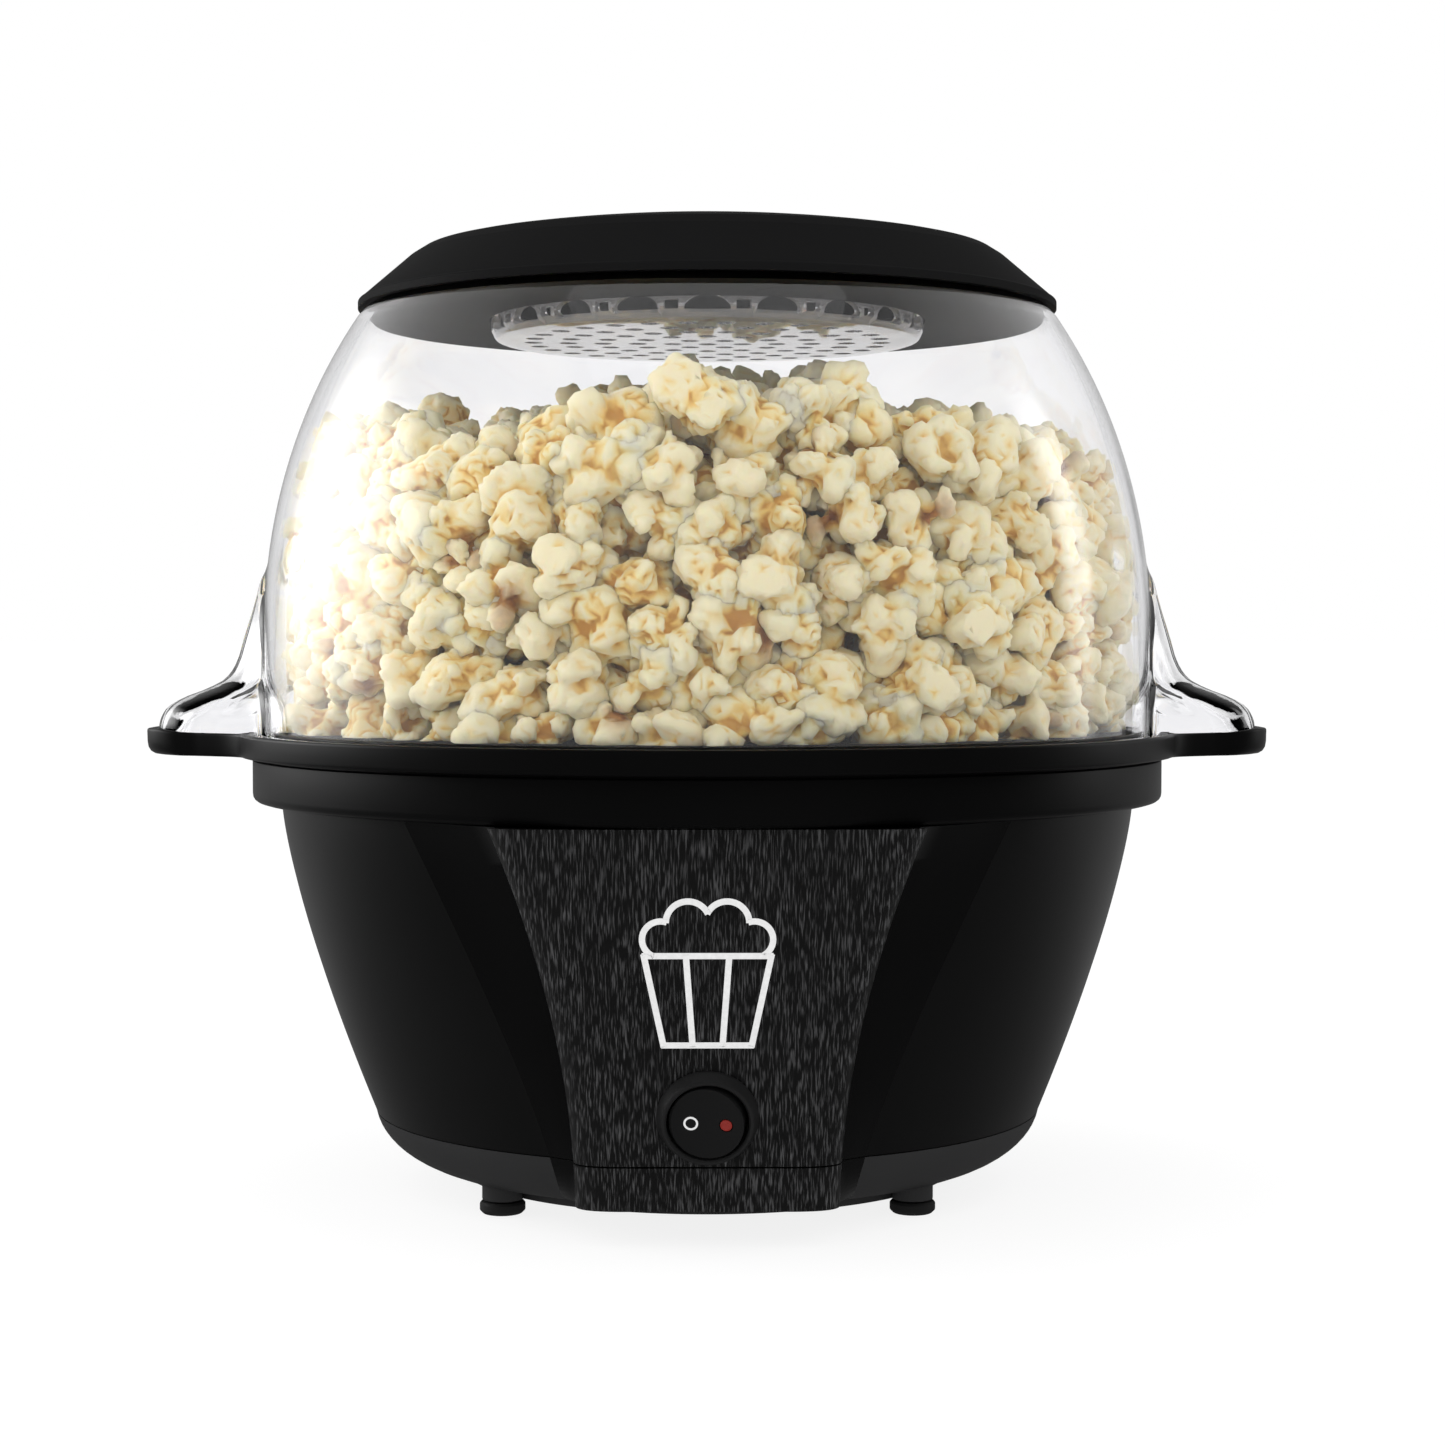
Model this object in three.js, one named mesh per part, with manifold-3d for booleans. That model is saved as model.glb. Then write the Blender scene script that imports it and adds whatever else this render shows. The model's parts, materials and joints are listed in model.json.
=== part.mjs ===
// A table-top popcorn maker with a motor-driven stir rod, in millimetres.
// +Z is up, the front faces -Y, and the origin is on the table under the centre of the base.
import * as THREE from 'three';
import { mergeVertices } from 'three/addons/utils/BufferGeometryUtils.js';
import Module from 'manifold-3d';

const wasm = await Module();
wasm.setup();

// ---- driving dimensions ----
const WIDTH = 304.8;              // over the ears of the base
const DEPTH = 254;                // over the flange of the base
const HEIGHT = 260.35;            // table to the crown of the cap
const GAP = 0.3;                  // clearance between pieces that touch
const WALL = 2.4;                 // wall of the moulded shells
const ROUND_SEGMENTS = 36;        // facets round a large turned piece
const FLATNESS = 0.02;            // edges that bend a surface less than this are merged after a cut
const SMALL_SEGMENTS = 12;        // facets round a small turned piece

const PAD_HEIGHT = 3.2;           // rubber foot pads
const FOOT_X = 53;
const FOOT_Y = 48;
const FOOT_RADIUS = 5.9;
const PAN_FLOOR = 6;              // underside of the bottom pan
const SEAM = 21;                  // joint between the bottom pan and the housing
const SEAM_RADIUS = 90.6;
const COLLAR_BOTTOM = 104.5;
const HOUSING_TOP_RADIUS = 115.5;
const COLLAR_RADIUS = 123.2;
const FLANGE_BOTTOM = 117;
const RIM = 121;                  // flat top of the collar flange
const FLANGE_RADIUS = DEPTH / 2;
const LEDGE_TOP = 115.5;          // inner ledge that carries the popping plate

const PANEL_BOTTOM = 9.2;         // lower edge of the front panel
const PANEL_THICKNESS = 1.2;
const PANEL_DEPTH_LOW = 96;       // how far forward the panel stands at the seam
const PANEL_DEPTH_HIGH = 118;     // and under the collar

const PLATE_FLOOR = 105.5;        // top of the flat part of the popping plate
const PLATE_THICKNESS = 2.5;
const PLATE_UNDERSIDE = PLATE_FLOOR - PLATE_THICKNESS;
const SHIELD_BOTTOM = 86;
const SHIELD_TOP = 87.5;
const SHAFT_RADIUS = 3;
const ROD_RADIUS = 1.6;

const MODULE = 1;                 // gear module
const GEAR_TEETH = 48;
const PINION_TEETH = 12;
const BACKLASH = 0.4;
const GEAR_BOTTOM = 75;
const GEAR_FACE = 6;
const CENTRE_DISTANCE = (MODULE * (GEAR_TEETH + PINION_TEETH)) / 2;
const CASE_BOTTOM = 71;

const DOME_RADIUS = 120;
const DOME_WALL = 2.4;
const DOME_SHOULDER = 150;        // height where the straight wall turns into the dome
const DOME_CURVE = 137.5;         // vertical half-axis of the dome's curve
const DOME_TOP = 236.5;
const WELL_RADIUS = 58.9;
const CAP_BOTTOM = 236.8;
const CAP_RADIUS = 94.7;

const SWITCH_HEIGHT = 34;
const SWITCH_BORE = 9.9;          // round hole in the switch that the rocker tilts in
const SWITCH_NECK = 10.5;         // outside of the switch's neck
const SWITCH_HOLE = 10.8;         // hole for the neck in the panel and the housing
const ROCKER_RADIUS = 9.1;
const ROCKER_FACE = 4.5;          // how far the rocker's rim stands in front of the panel
const ROCKER_TILT = THREE.MathUtils.degToRad(8);
const ROCKER_PIVOT = 1.5;         // in front of the panel's face

// ---- materials ----
const finish = (color, roughness, metalness = 0, opacity = 1) => new THREE.MeshStandardMaterial({
  color, roughness, metalness, opacity, transparent: opacity < 1,
});
const BLACK_PLASTIC = finish(0x141416, 0.38);
const MATTE_PLASTIC = finish(0x1d1d1f, 0.6);
const BRUSHED_BLACK = finish(0x1b1b1d, 0.35, 0.7);
const CLEAR = finish(0xf2f2f8, 0.05, 0, 0.25);
const CLEAR_GREY = finish(0xc9c9d2, 0.2, 0, 0.5);
const RUBBER = finish(0x101010, 0.85);
const NON_STICK = finish(0x262626, 0.5, 0.3);
const STEEL = finish(0xb9bcc0, 0.3, 1);
const ALUMINIUM = finish(0xc8cacc, 0.4, 1);
const NYLON = finish(0xe4e0d2, 0.55);
const BRASS = finish(0xb08d45, 0.35, 1);
const RED = finish(0xb3271e, 0.35);

// ---- solids ----
function signedVolume(geometry) {
  const position = geometry.getAttribute('position');
  const index = geometry.getIndex();
  const [a, b, c] = [new THREE.Vector3(), new THREE.Vector3(), new THREE.Vector3()];
  let volume = 0;
  for (let i = 0; i < index.count; i += 3) {
    a.fromBufferAttribute(position, index.getX(i));
    b.fromBufferAttribute(position, index.getX(i + 1));
    c.fromBufferAttribute(position, index.getX(i + 2));
    volume += a.dot(b.cross(c));
  }
  return volume;
}

// Joins the shared vertices of a closed geometry and turns its faces outwards.
function closed(geometry) {
  geometry.deleteAttribute('normal');
  geometry.deleteAttribute('uv');
  const merged = mergeVertices(geometry, 1e-4);
  const index = merged.getIndex();
  const kept = [];
  const turned = signedVolume(merged) < 0;
  for (let i = 0; i < index.count; i += 3) {
    const [a, b, c] = [index.getX(i), index.getX(i + 1), index.getX(i + 2)];
    if (a !== b && b !== c && c !== a) {
      kept.push(a, turned ? c : b, turned ? b : c);
    }
  }
  merged.setIndex(kept);
  return merged;
}

function toManifold(geometry) {
  return new wasm.Manifold(new wasm.Mesh({
    numProp: 3,
    vertProperties: new Float32Array(geometry.getAttribute('position').array),
    triVerts: new Uint32Array(geometry.getIndex().array),
  }));
}

function toGeometry(manifold) {
  const mesh = manifold.getMesh();
  const geometry = new THREE.BufferGeometry();
  geometry.setAttribute('position', new THREE.BufferAttribute(mesh.vertProperties, mesh.numProp));
  geometry.setIndex(new THREE.BufferAttribute(mesh.triVerts, 1));
  return geometry;
}

function combine(operation, first, others) {
  let result = toManifold(first);
  for (const other of others) {
    result = result[operation](toManifold(other));
  }
  return toGeometry(result.asOriginal().simplify(FLATNESS));
}

const join = (first, ...others) => combine('add', first, others);
const cut = (first, ...others) => combine('subtract', first, others);
const common = (first, ...others) => combine('intersect', first, others);

// Turns a profile of [radius, height] points round the Z axis.
function turned(profile, segments = ROUND_SEGMENTS) {
  const points = profile.map(([radius, height]) => new THREE.Vector2(radius, height));
  const geometry = new THREE.LatheGeometry(points, segments);
  return closed(geometry.rotateX(Math.PI / 2));
}

const ring = (inner, outer, bottom, top, segments = ROUND_SEGMENTS) => turned(
  [[inner, bottom], [outer, bottom], [outer, top], [inner, top], [inner, bottom]],
  segments,
);

const disc = (radius, bottom, top, segments = SMALL_SEGMENTS) => turned(
  [[0, bottom], [radius, bottom], [radius, top], [0, top]],
  segments,
);

function slab(shape, bottom, top, curveSegments = 8) {
  const geometry = new THREE.ExtrudeGeometry(shape, {
    depth: top - bottom, bevelEnabled: false, curveSegments,
  });
  return closed(geometry.translate(0, 0, bottom));
}

const polygon = (points) => new THREE.Shape(points.map(([x, y]) => new THREE.Vector2(x, y)));

const block = (width, depth, bottom, top) => closed(
  new THREE.BoxGeometry(width, depth, top - bottom).translate(0, 0, (bottom + top) / 2),
);

// Skins a closed solid through outlines of equal point counts: sections are { z, outline }.
function loft(sections) {
  const count = sections[0].outline.length;
  const positions = sections.flatMap(({ z, outline }) => outline.flatMap(([x, y]) => [x, y, z]));
  const faces = [];
  for (let level = 0; level < sections.length - 1; level += 1) {
    for (let i = 0; i < count; i += 1) {
      const next = (i + 1) % count;
      const [a, b] = [level * count + i, level * count + next];
      faces.push(a, b, b + count, a, b + count, a + count);
    }
  }
  const flat = sections.map(({ outline }) => outline.map(([x, y]) => new THREE.Vector2(x, y)));
  const last = sections.length - 1;
  for (const [a, b, c] of THREE.ShapeUtils.triangulateShape(flat[0], [])) {
    faces.push(a, c, b);
  }
  for (const [a, b, c] of THREE.ShapeUtils.triangulateShape(flat[last], [])) {
    faces.push(a + last * count, b + last * count, c + last * count);
  }
  const geometry = new THREE.BufferGeometry();
  geometry.setAttribute('position', new THREE.Float32BufferAttribute(positions, 3));
  geometry.setIndex(faces);
  return closed(geometry);
}

const popcornMaker = new THREE.Group();

function place(name, geometry, material, parent = popcornMaker) {
  const mesh = new THREE.Mesh(geometry, material);
  mesh.name = name;
  parent.add(mesh);
  return mesh;
}

function placeAt(name, geometry, material, x, y, turn = 0) {
  const mesh = place(name, geometry, material);
  mesh.position.set(x, y, 0);
  mesh.rotation.z = turn;
  return mesh;
}

const polar = (radius, degrees) => {
  const angle = THREE.MathUtils.degToRad(degrees);
  return [radius * Math.cos(angle), radius * Math.sin(angle)];
};

// ---- base: the body bellies out from the seam up to the collar ----
const BELLY = 1.35;
function bodyRadius(z) {
  const rise = (z - SEAM) / (COLLAR_BOTTOM - SEAM);
  return SEAM_RADIUS + (HOUSING_TOP_RADIUS - SEAM_RADIUS) * (1 - (1 - rise) ** BELLY);
}

const BODY_LEVELS = [SEAM, 36, 54, 76, COLLAR_BOTTOM - GAP];

// The front bump carries the panel. It is wider towards the top, with slanted flanks.
const panelRise = (z) => Math.max(0, (z - PANEL_BOTTOM) / (COLLAR_BOTTOM - PANEL_BOTTOM));
const panelHalfWidth = (z) => 32.4 + 19.5 * panelRise(z) ** 2;
const flankHalfWidth = (z) => 36.5 + 37.4 * panelRise(z) ** 1.3;
const PANEL_BELLY = 1.2;
function panelDepth(z) {
  const rise = (z - SEAM) / (COLLAR_BOTTOM - SEAM);
  return PANEL_DEPTH_LOW + (PANEL_DEPTH_HIGH - PANEL_DEPTH_LOW) * (1 - (1 - rise) ** PANEL_BELLY);
}

// Half of the panel's plan at one height, from the middle to its edge, moved inwards by inset.
function panelPlan(z, inset) {
  const half = panelHalfWidth(z);
  const front = -panelDepth(z) + inset;
  return [
    [half - 11, front],
    [half - 4.5 - inset / 2, front + 1.4],
    [half - 1 - inset * 0.8, front + 4],
    [half - inset, front + 6.6],
  ];
}

// A whole outline from its right half: from the left end across the front to the right end.
const mirrored = (half) => [...half.map(([x, y]) => [-x, y]).reverse(), ...half];

const PANEL_SEAT = PANEL_THICKNESS + GAP;
const INSIDE_Y = -40;             // the bump's plan closes well inside the round body

function bumpSection(z, inset, bodyInset) {
  const flank = flankHalfWidth(z) - bodyInset;
  const radius = (z < SEAM ? panRadius(z) : bodyRadius(z)) - bodyInset;
  const half = [
    ...panelPlan(z, inset),
    [flank, -Math.sqrt(radius ** 2 - flank ** 2)],
    [flank - 8, INSIDE_Y],
  ];
  return { z, outline: mirrored(half) };
}

// The panels wrap the bump's face: a thin skin with the seat's clearance behind it.
function panelSection(z) {
  const outer = panelPlan(z, 0);
  const inner = panelPlan(z, PANEL_THICKNESS);
  const whole = mirrored(outer);
  const back = mirrored(inner).reverse();
  return { z, outline: [...whole, ...back] };
}

const PAN_ROUND = 15;             // height of the pan's rounded lower edge
function panRadius(z) {
  const drop = Math.min(1, (SEAM - z) / PAN_ROUND);
  return SEAM_RADIUS - 20.6 * (1 - Math.sqrt(1 - drop ** 2)) - 2.6 * drop;
}

const PAN_LEVELS = [PAN_FLOOR, 6.8, 9.5, 14, SEAM - GAP];
const SCREW_ANGLES = [20, 160, 200, 340];
const SCREW_CIRCLE = 79;
const SCREW_SEAT = 13;            // depth at which the head of a pan screw bears
const SCREW_RECESS = 4.2;         // radius of the recess a pan screw's head sits in
const SCREW_HOLE = 2.1;           // radius of a clear hole for a self-tapping screw
const PAN_SCREW_LENGTH = 18;
const SHIELD_SCREW_ANGLES = [90, 210, 330];
const SHIELD_SCREW_CIRCLE = 97;
const SHIELD_RADIUS = 103.5;

function at(geometry, [x, y]) {
  return geometry.clone().translate(x, y, 0);
}

function baseHousing() {
  const outerProfile = BODY_LEVELS.map((z) => [bodyRadius(z), z]);
  const innerProfile = BODY_LEVELS.map((z) => [bodyRadius(z) - WALL, z]);
  const top = COLLAR_BOTTOM - GAP;
  const spigotTop = LEDGE_TOP - WALL - GAP;
  const shell = turned([...outerProfile, ...innerProfile.reverse(), outerProfile[0]]);
  const solidBody = turned([[0, SEAM], ...outerProfile, [0, top]]);
  const hollowBody = turned([[0, SEAM - 1], [innerProfile.at(-1)[0], SEAM - 1],
    ...BODY_LEVELS.map((z) => [bodyRadius(z) - WALL, z]), [innerProfile[0][0], top + 1], [0, top + 1]]);
  const bump = loft(BODY_LEVELS.map((z) => bumpSection(z, PANEL_SEAT, 0)));
  const bumpHollow = loft([
    { ...bumpSection(SEAM, PANEL_SEAT + WALL, WALL), z: SEAM - 1 },
    ...BODY_LEVELS.slice(1, -1).map((z) => bumpSection(z, PANEL_SEAT + WALL, WALL)),
    { ...bumpSection(top, PANEL_SEAT + WALL, WALL), z: top - WALL },
  ]);
  const spigot = ring(112, 114, top - 2, spigotTop);
  const ribs = SCREW_ANGLES.map((degrees) => closed(
    new THREE.BoxGeometry(16, 4, 15).translate(SCREW_CIRCLE + 10, 0, SEAM + 7.5)
      .rotateZ(THREE.MathUtils.degToRad(degrees)),
  ));
  const bosses = SCREW_ANGLES.map((degrees) => at(disc(5, SEAM, SEAM + 15), polar(SCREW_CIRCLE, degrees)));
  const shieldRibs = SHIELD_SCREW_ANGLES.map((degrees) => closed(
    new THREE.BoxGeometry(16, 4, 26).translate(SHIELD_SCREW_CIRCLE + 8, 0, SHIELD_BOTTOM - GAP - 13)
      .rotateZ(THREE.MathUtils.degToRad(degrees)),
  ));
  const shieldBosses = SHIELD_SCREW_ANGLES.map((degrees) => at(
    disc(4.5, SHIELD_BOTTOM - 20, SHIELD_BOTTOM - GAP),
    polar(SHIELD_SCREW_CIRCLE, degrees),
  ));
  const fittings = common(join(...bosses, ...ribs, ...shieldRibs, ...shieldBosses), solidBody);
  const holes = [
    ...SCREW_ANGLES.map((degrees) => at(
      disc(SCREW_HOLE, SEAM - 1, SEAM + 12, 10),
      polar(SCREW_CIRCLE, degrees),
    )),
    ...SHIELD_SCREW_ANGLES.map((degrees) => at(
      disc(1.9, SHIELD_BOTTOM - 14, SHIELD_BOTTOM, 10),
      polar(SHIELD_SCREW_CIRCLE, degrees),
    )),
    inSwitchFrame(disc(SWITCH_HOLE, -12, 4, 32)),
    inGlandFrame(disc(6.8, -9, 6)),
  ];
  const skin = cut(join(shell, spigot, common(bump, cut(bump, hollowBody))), bumpHollow);
  return cut(join(skin, fittings), ...holes);
}

function bottomPan() {
  const outer = PAN_LEVELS.map((z) => [panRadius(z), z]);
  const inner = PAN_LEVELS.slice(2).map((z) => [panRadius(z) - WALL, z + (z < SEAM - 1 ? 0.5 : 1)]);
  const dish = turned([[0, PAN_FLOOR], ...outer, [0, outer.at(-1)[1]]]);
  const hollow = turned([[0, PAN_FLOOR + WALL], [inner[0][0] - 6, PAN_FLOOR + WALL], ...inner,
    [0, inner.at(-1)[1]]]);
  const levels = [PANEL_BOTTOM, 13, 17, SEAM - GAP];
  const bump = loft(levels.map((z) => bumpSection(z, PANEL_SEAT, 0)));
  const bumpHollow = loft([
    bumpSection(PANEL_BOTTOM + WALL, PANEL_SEAT + WALL, WALL),
    bumpSection(17, PANEL_SEAT + WALL, WALL),
    { ...bumpSection(SEAM - GAP, PANEL_SEAT + WALL, WALL), z: SEAM + 1 },
  ]);
  const feet = [];
  const stemHoles = [];
  for (const [x, y] of FEET) {
    feet.push(at(disc(FOOT_RADIUS - 0.6, PAD_HEIGHT + GAP, PAN_FLOOR + 4), [x, y]));
    stemHoles.push(at(disc(2.4, 0, PAN_FLOOR + 5, 10), [x, y]));
  }
  const bosses = SCREW_ANGLES.map((degrees) => at(
    disc(5.4, PAN_FLOOR + 1, SEAM - GAP),
    polar(SCREW_CIRCLE, degrees),
  ));
  const recesses = SCREW_ANGLES.map((degrees) => at(
    disc(SCREW_RECESS, 0, SCREW_SEAT),
    polar(SCREW_CIRCLE, degrees),
  ));
  const shanks = SCREW_ANGLES.map((degrees) => at(
    disc(SCREW_HOLE, 0, SEAM, 10),
    polar(SCREW_CIRCLE, degrees),
  ));
  const insideBosses = common(join(...bosses), dish);
  const solid = join(cut(join(dish, bump), hollow, bumpHollow), ...feet, insideBosses);
  return cut(solid, ...recesses, ...shanks, ...stemHoles);
}

const FEET = [[-FOOT_X, -FOOT_Y], [FOOT_X, -FOOT_Y], [-FOOT_X, FOOT_Y], [FOOT_X, FOOT_Y]];

const footPad = () => turned([[0, 0], [FOOT_RADIUS - 0.5, 0], [FOOT_RADIUS, 0.6], [FOOT_RADIUS, PAD_HEIGHT],
  [2, PAD_HEIGHT], [2, PAN_FLOOR + 3], [0, PAN_FLOOR + 3]], 12);

// A pan-head screw standing head down: the head's underside bears at seat.
const screw = (seat, length, headRadius = 3.6, shankRadius = 1.7) => turned([
  [0, seat - 2.2], [headRadius * 0.7, seat - 2.2], [headRadius, seat - 1.2], [headRadius, seat],
  [shankRadius, seat], [shankRadius, seat + length - 1.5], [0, seat + length],
], 8);

// The collar: a deep skirt, a groove, the flange with two ears, and the ledge inside it.
const EAR_ROOT = 105;             // where an ear's plan starts, inside the flange
const EAR_ROOT_HALF = 38;
const EAR_TIP_HALF = 20;
const EAR_CORNER = 14;
function earPlan(tip, side, trim = 0) {
  const shape = new THREE.Shape();
  const [root, half] = [EAR_ROOT, EAR_TIP_HALF - trim];
  shape.moveTo(side * root, -(EAR_ROOT_HALF - trim));
  shape.lineTo(side * (tip - EAR_CORNER), -half);
  shape.quadraticCurveTo(side * tip, -half + 1, side * tip, -half + EAR_CORNER);
  shape.lineTo(side * tip, half - EAR_CORNER);
  shape.quadraticCurveTo(side * tip, half - 1, side * (tip - EAR_CORNER), half);
  shape.lineTo(side * root, EAR_ROOT_HALF - trim);
  return shape;
}

const EAR_LIP = 2.4;
const COLLAR_INNER = HOUSING_TOP_RADIUS + 0.6;
const GROOVE_RADIUS = COLLAR_RADIUS - 1.4;   // the groove between the collar and its flange
const EAR_LIP_TOP = RIM + 3;
const LEDGE_INNER = 110.5;
const SEAT_INNER = 115.6;
const RIB_TOP = RIM + 2.4;

function baseCollar() {
  const ringBody = turned([
    [COLLAR_INNER, COLLAR_BOTTOM], [119.4, COLLAR_BOTTOM], [121.6, 105.8], [COLLAR_RADIUS - 0.4, 108.6],
    [COLLAR_RADIUS, 112], [COLLAR_RADIUS, 115.8], [GROOVE_RADIUS, 116.2], [GROOVE_RADIUS, FLANGE_BOTTOM],
    [FLANGE_RADIUS, FLANGE_BOTTOM], [FLANGE_RADIUS, RIM - 0.8], [FLANGE_RADIUS - 0.8, RIM],
    [SEAT_INNER + 1.6, RIM], [SEAT_INNER + 1.6, RIB_TOP], [SEAT_INNER, RIB_TOP], [SEAT_INNER, LEDGE_TOP],
    [LEDGE_INNER, LEDGE_TOP], [LEDGE_INNER, LEDGE_TOP - WALL], [COLLAR_INNER, LEDGE_TOP - WALL],
    [COLLAR_INNER, COLLAR_BOTTOM],
  ]);
  const bore = disc(SEAT_INNER + 1, 0, HEIGHT, ROUND_SEGMENTS);
  const parts = [ringBody];
  for (const side of [-1, 1]) {
    const tip = WIDTH / 2;
    const flat = slab(earPlan(tip, side), FLANGE_BOTTOM, RIM);
    const lipOuter = slab(earPlan(tip, side), RIM - 1, EAR_LIP_TOP);
    const lipInner = slab(earPlan(tip - EAR_LIP, side, EAR_LIP), RIM - 2, EAR_LIP_TOP + 1);
    const lipRoom = disc(DOME_RADIUS + 5.5, RIM - 2, EAR_LIP_TOP + 1, ROUND_SEGMENTS);
    parts.push(cut(flat, bore), cut(lipOuter, lipInner, lipRoom));
  }
  return join(...parts);
}

// ---- inside the base ----
function poppingPlate() {
  const rim = LEDGE_TOP + GAP;
  const dish = turned([
    [5.8, PLATE_UNDERSIDE], [87.5, PLATE_UNDERSIDE], [94, PLATE_UNDERSIDE + 2.6],
    [101, rim - 3.5], [105.5, rim], [SEAT_INNER - GAP, rim],
    [SEAT_INNER - GAP, rim + 2.2], [105, rim + 2.2], [99, rim - 1],
    [92.5, PLATE_FLOOR + 2.6], [86, PLATE_FLOOR], [5.8, PLATE_FLOOR], [5.8, PLATE_UNDERSIDE],
  ]);
  return dish;
}

// The heating element is an open ring whose two ends turn down through the shield.
function heatingElement() {
  const tubeRadius = 4;
  const ringRadius = 62;
  const level = PLATE_UNDERSIDE - 2 * GAP - tubeRadius;
  const endAngle = 22;
  const points = [];
  for (let i = 0; i <= 24; i += 1) {
    const degrees = endAngle + (i * (360 - 2 * endAngle)) / 24;
    const [x, y] = polar(ringRadius, degrees);
    points.push(new THREE.Vector3(x, y, level));
  }
  const ends = [points[0].clone(), points.at(-1).clone()];
  const inwards = (end, side) => [
    new THREE.Vector3(end.x + 2, end.y - side * 4, level - 3),
    new THREE.Vector3(end.x + 2, end.y - side * 5, level - 9),
    new THREE.Vector3(end.x + 2, end.y - side * 5, SHIELD_BOTTOM - 8),
  ];
  const path = new THREE.CatmullRomCurve3([
    ...inwards(ends[0], 1).reverse(), ...points, ...inwards(ends[1], -1),
  ], false, 'centripetal');
  return tube(path, tubeRadius, 44, 6);
}

function tube(path, radius, steps, sides) {
  const section = new THREE.Shape();
  section.absarc(0, 0, radius, 0, 2 * Math.PI);
  return closed(new THREE.ExtrudeGeometry(section, {
    steps, extrudePath: path, curveSegments: sides / 2, bevelEnabled: false,
  }));
}

const STANDOFF_ANGLES = [60, 180, 300];
const STANDOFF_CIRCLE = 80;
const CASE_SCREWS = [[-20.5, -24], [20.5, -24], [0, CENTRE_DISTANCE + 27]];
const ELEMENT_EXITS = [[60, 18], [60, -18]];

function heatShield() {
  const plate = turned([
    [5, SHIELD_BOTTOM], [SHIELD_RADIUS, SHIELD_BOTTOM], [SHIELD_RADIUS, SHIELD_TOP + 2.5],
    [SHIELD_RADIUS - 1.5, SHIELD_TOP + 2.5], [SHIELD_RADIUS - 1.5, SHIELD_TOP],
    [5, SHIELD_TOP], [5, SHIELD_BOTTOM],
  ]);
  const hole = (radius, [x, y]) => at(disc(radius, SHIELD_BOTTOM - 1, SHIELD_TOP + 1, 12), [x, y]);
  return cut(
    plate,
    ...SHIELD_SCREW_ANGLES.map((degrees) => hole(SCREW_HOLE, polar(SHIELD_SCREW_CIRCLE, degrees))),
    ...STANDOFF_ANGLES.map((degrees) => hole(SCREW_HOLE, polar(STANDOFF_CIRCLE, degrees))),
    ...CASE_SCREWS.map((spot) => hole(SCREW_HOLE, spot)),
    ...ELEMENT_EXITS.map((spot) => hole(7, spot)),
  );
}

const standoff = () => cut(
  disc(4, SHIELD_TOP + GAP, PLATE_UNDERSIDE - GAP, 6),
  disc(SCREW_HOLE, SHIELD_TOP, SHIELD_TOP + 10, 10),
);

const thermostat = () => turned([[0, 93], [6, 93], [6, 95.5], [9, 95.5], [9, PLATE_UNDERSIDE - GAP],
  [0, PLATE_UNDERSIDE - GAP]], SMALL_SEGMENTS);

function thermalFuse() {
  const capsule = new THREE.CapsuleGeometry(2.4, 12, 3, 10);
  return closed(capsule.translate(0, 0, 0).rotateZ(Math.PI / 3).translate(24, 26, PLATE_UNDERSIDE - 3));
}

// A spur gear with straight flanks: half of a tooth's width at radius r narrows towards the tip.
function gearShape(teeth) {
  const pitch = (MODULE * teeth) / 2;
  const pressure = Math.tan(THREE.MathUtils.degToRad(20));
  const halfTooth = (Math.PI * MODULE) / 4 - BACKLASH / 2;
  const [root, tip] = [pitch - 1.15 * MODULE, pitch + 0.85 * MODULE];
  const corner = (radius, centre, side) => {
    const half = halfTooth - (radius - pitch) * pressure;
    const angle = centre + side * (half / radius);
    return new THREE.Vector2(radius * Math.cos(angle), radius * Math.sin(angle));
  };
  const points = [];
  for (let i = 0; i < teeth; i += 1) {
    const centre = (i * 2 * Math.PI) / teeth;
    points.push(corner(root, centre, -1), corner(tip, centre, -1));
    points.push(corner(tip, centre, 1), corner(root, centre, 1));
  }
  return new THREE.Shape(points);
}

function driveGear() {
  const blank = slab(gearShape(GEAR_TEETH), GEAR_BOTTOM, GEAR_BOTTOM + GEAR_FACE);
  const hub = disc(7, GEAR_BOTTOM + 1, GEAR_BOTTOM + GEAR_FACE + 1.6);
  return cut(join(blank, hub), disc(SHAFT_RADIUS + GAP, 0, HEIGHT));
}

const PINION_SHAFT = 1.5;
function motorPinion() {
  const blank = slab(gearShape(PINION_TEETH), GEAR_BOTTOM - 0.5, GEAR_BOTTOM + GEAR_FACE + 0.5);
  return join(blank, disc(PINION_SHAFT, 50, GEAR_BOTTOM + 1, 12));
}

function motorCan() {
  const top = CASE_BOTTOM - GAP;
  const can = turned([
    [0, 38], [19, 38], [21, 40], [21, top - 6], [27, top - 6], [27, top - 4.6], [21, top - 4.6],
    [21, top], [0, top],
  ], 20);
  return cut(can, disc(PINION_SHAFT + 0.5, 48, top + 1, 12));
}

function caseOutline(inset) {
  const shape = new THREE.Shape();
  const gearRoom = GEAR_TEETH / 2 + 4.8 - inset;
  const pinionRoom = PINION_TEETH / 2 + 5 - inset;
  const lean = Math.asin((gearRoom - pinionRoom) / CENTRE_DISTANCE);
  shape.absarc(0, 0, gearRoom, Math.PI - lean, lean);
  shape.absarc(0, CENTRE_DISTANCE, pinionRoom, lean, Math.PI - lean);
  return shape;
}

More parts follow.
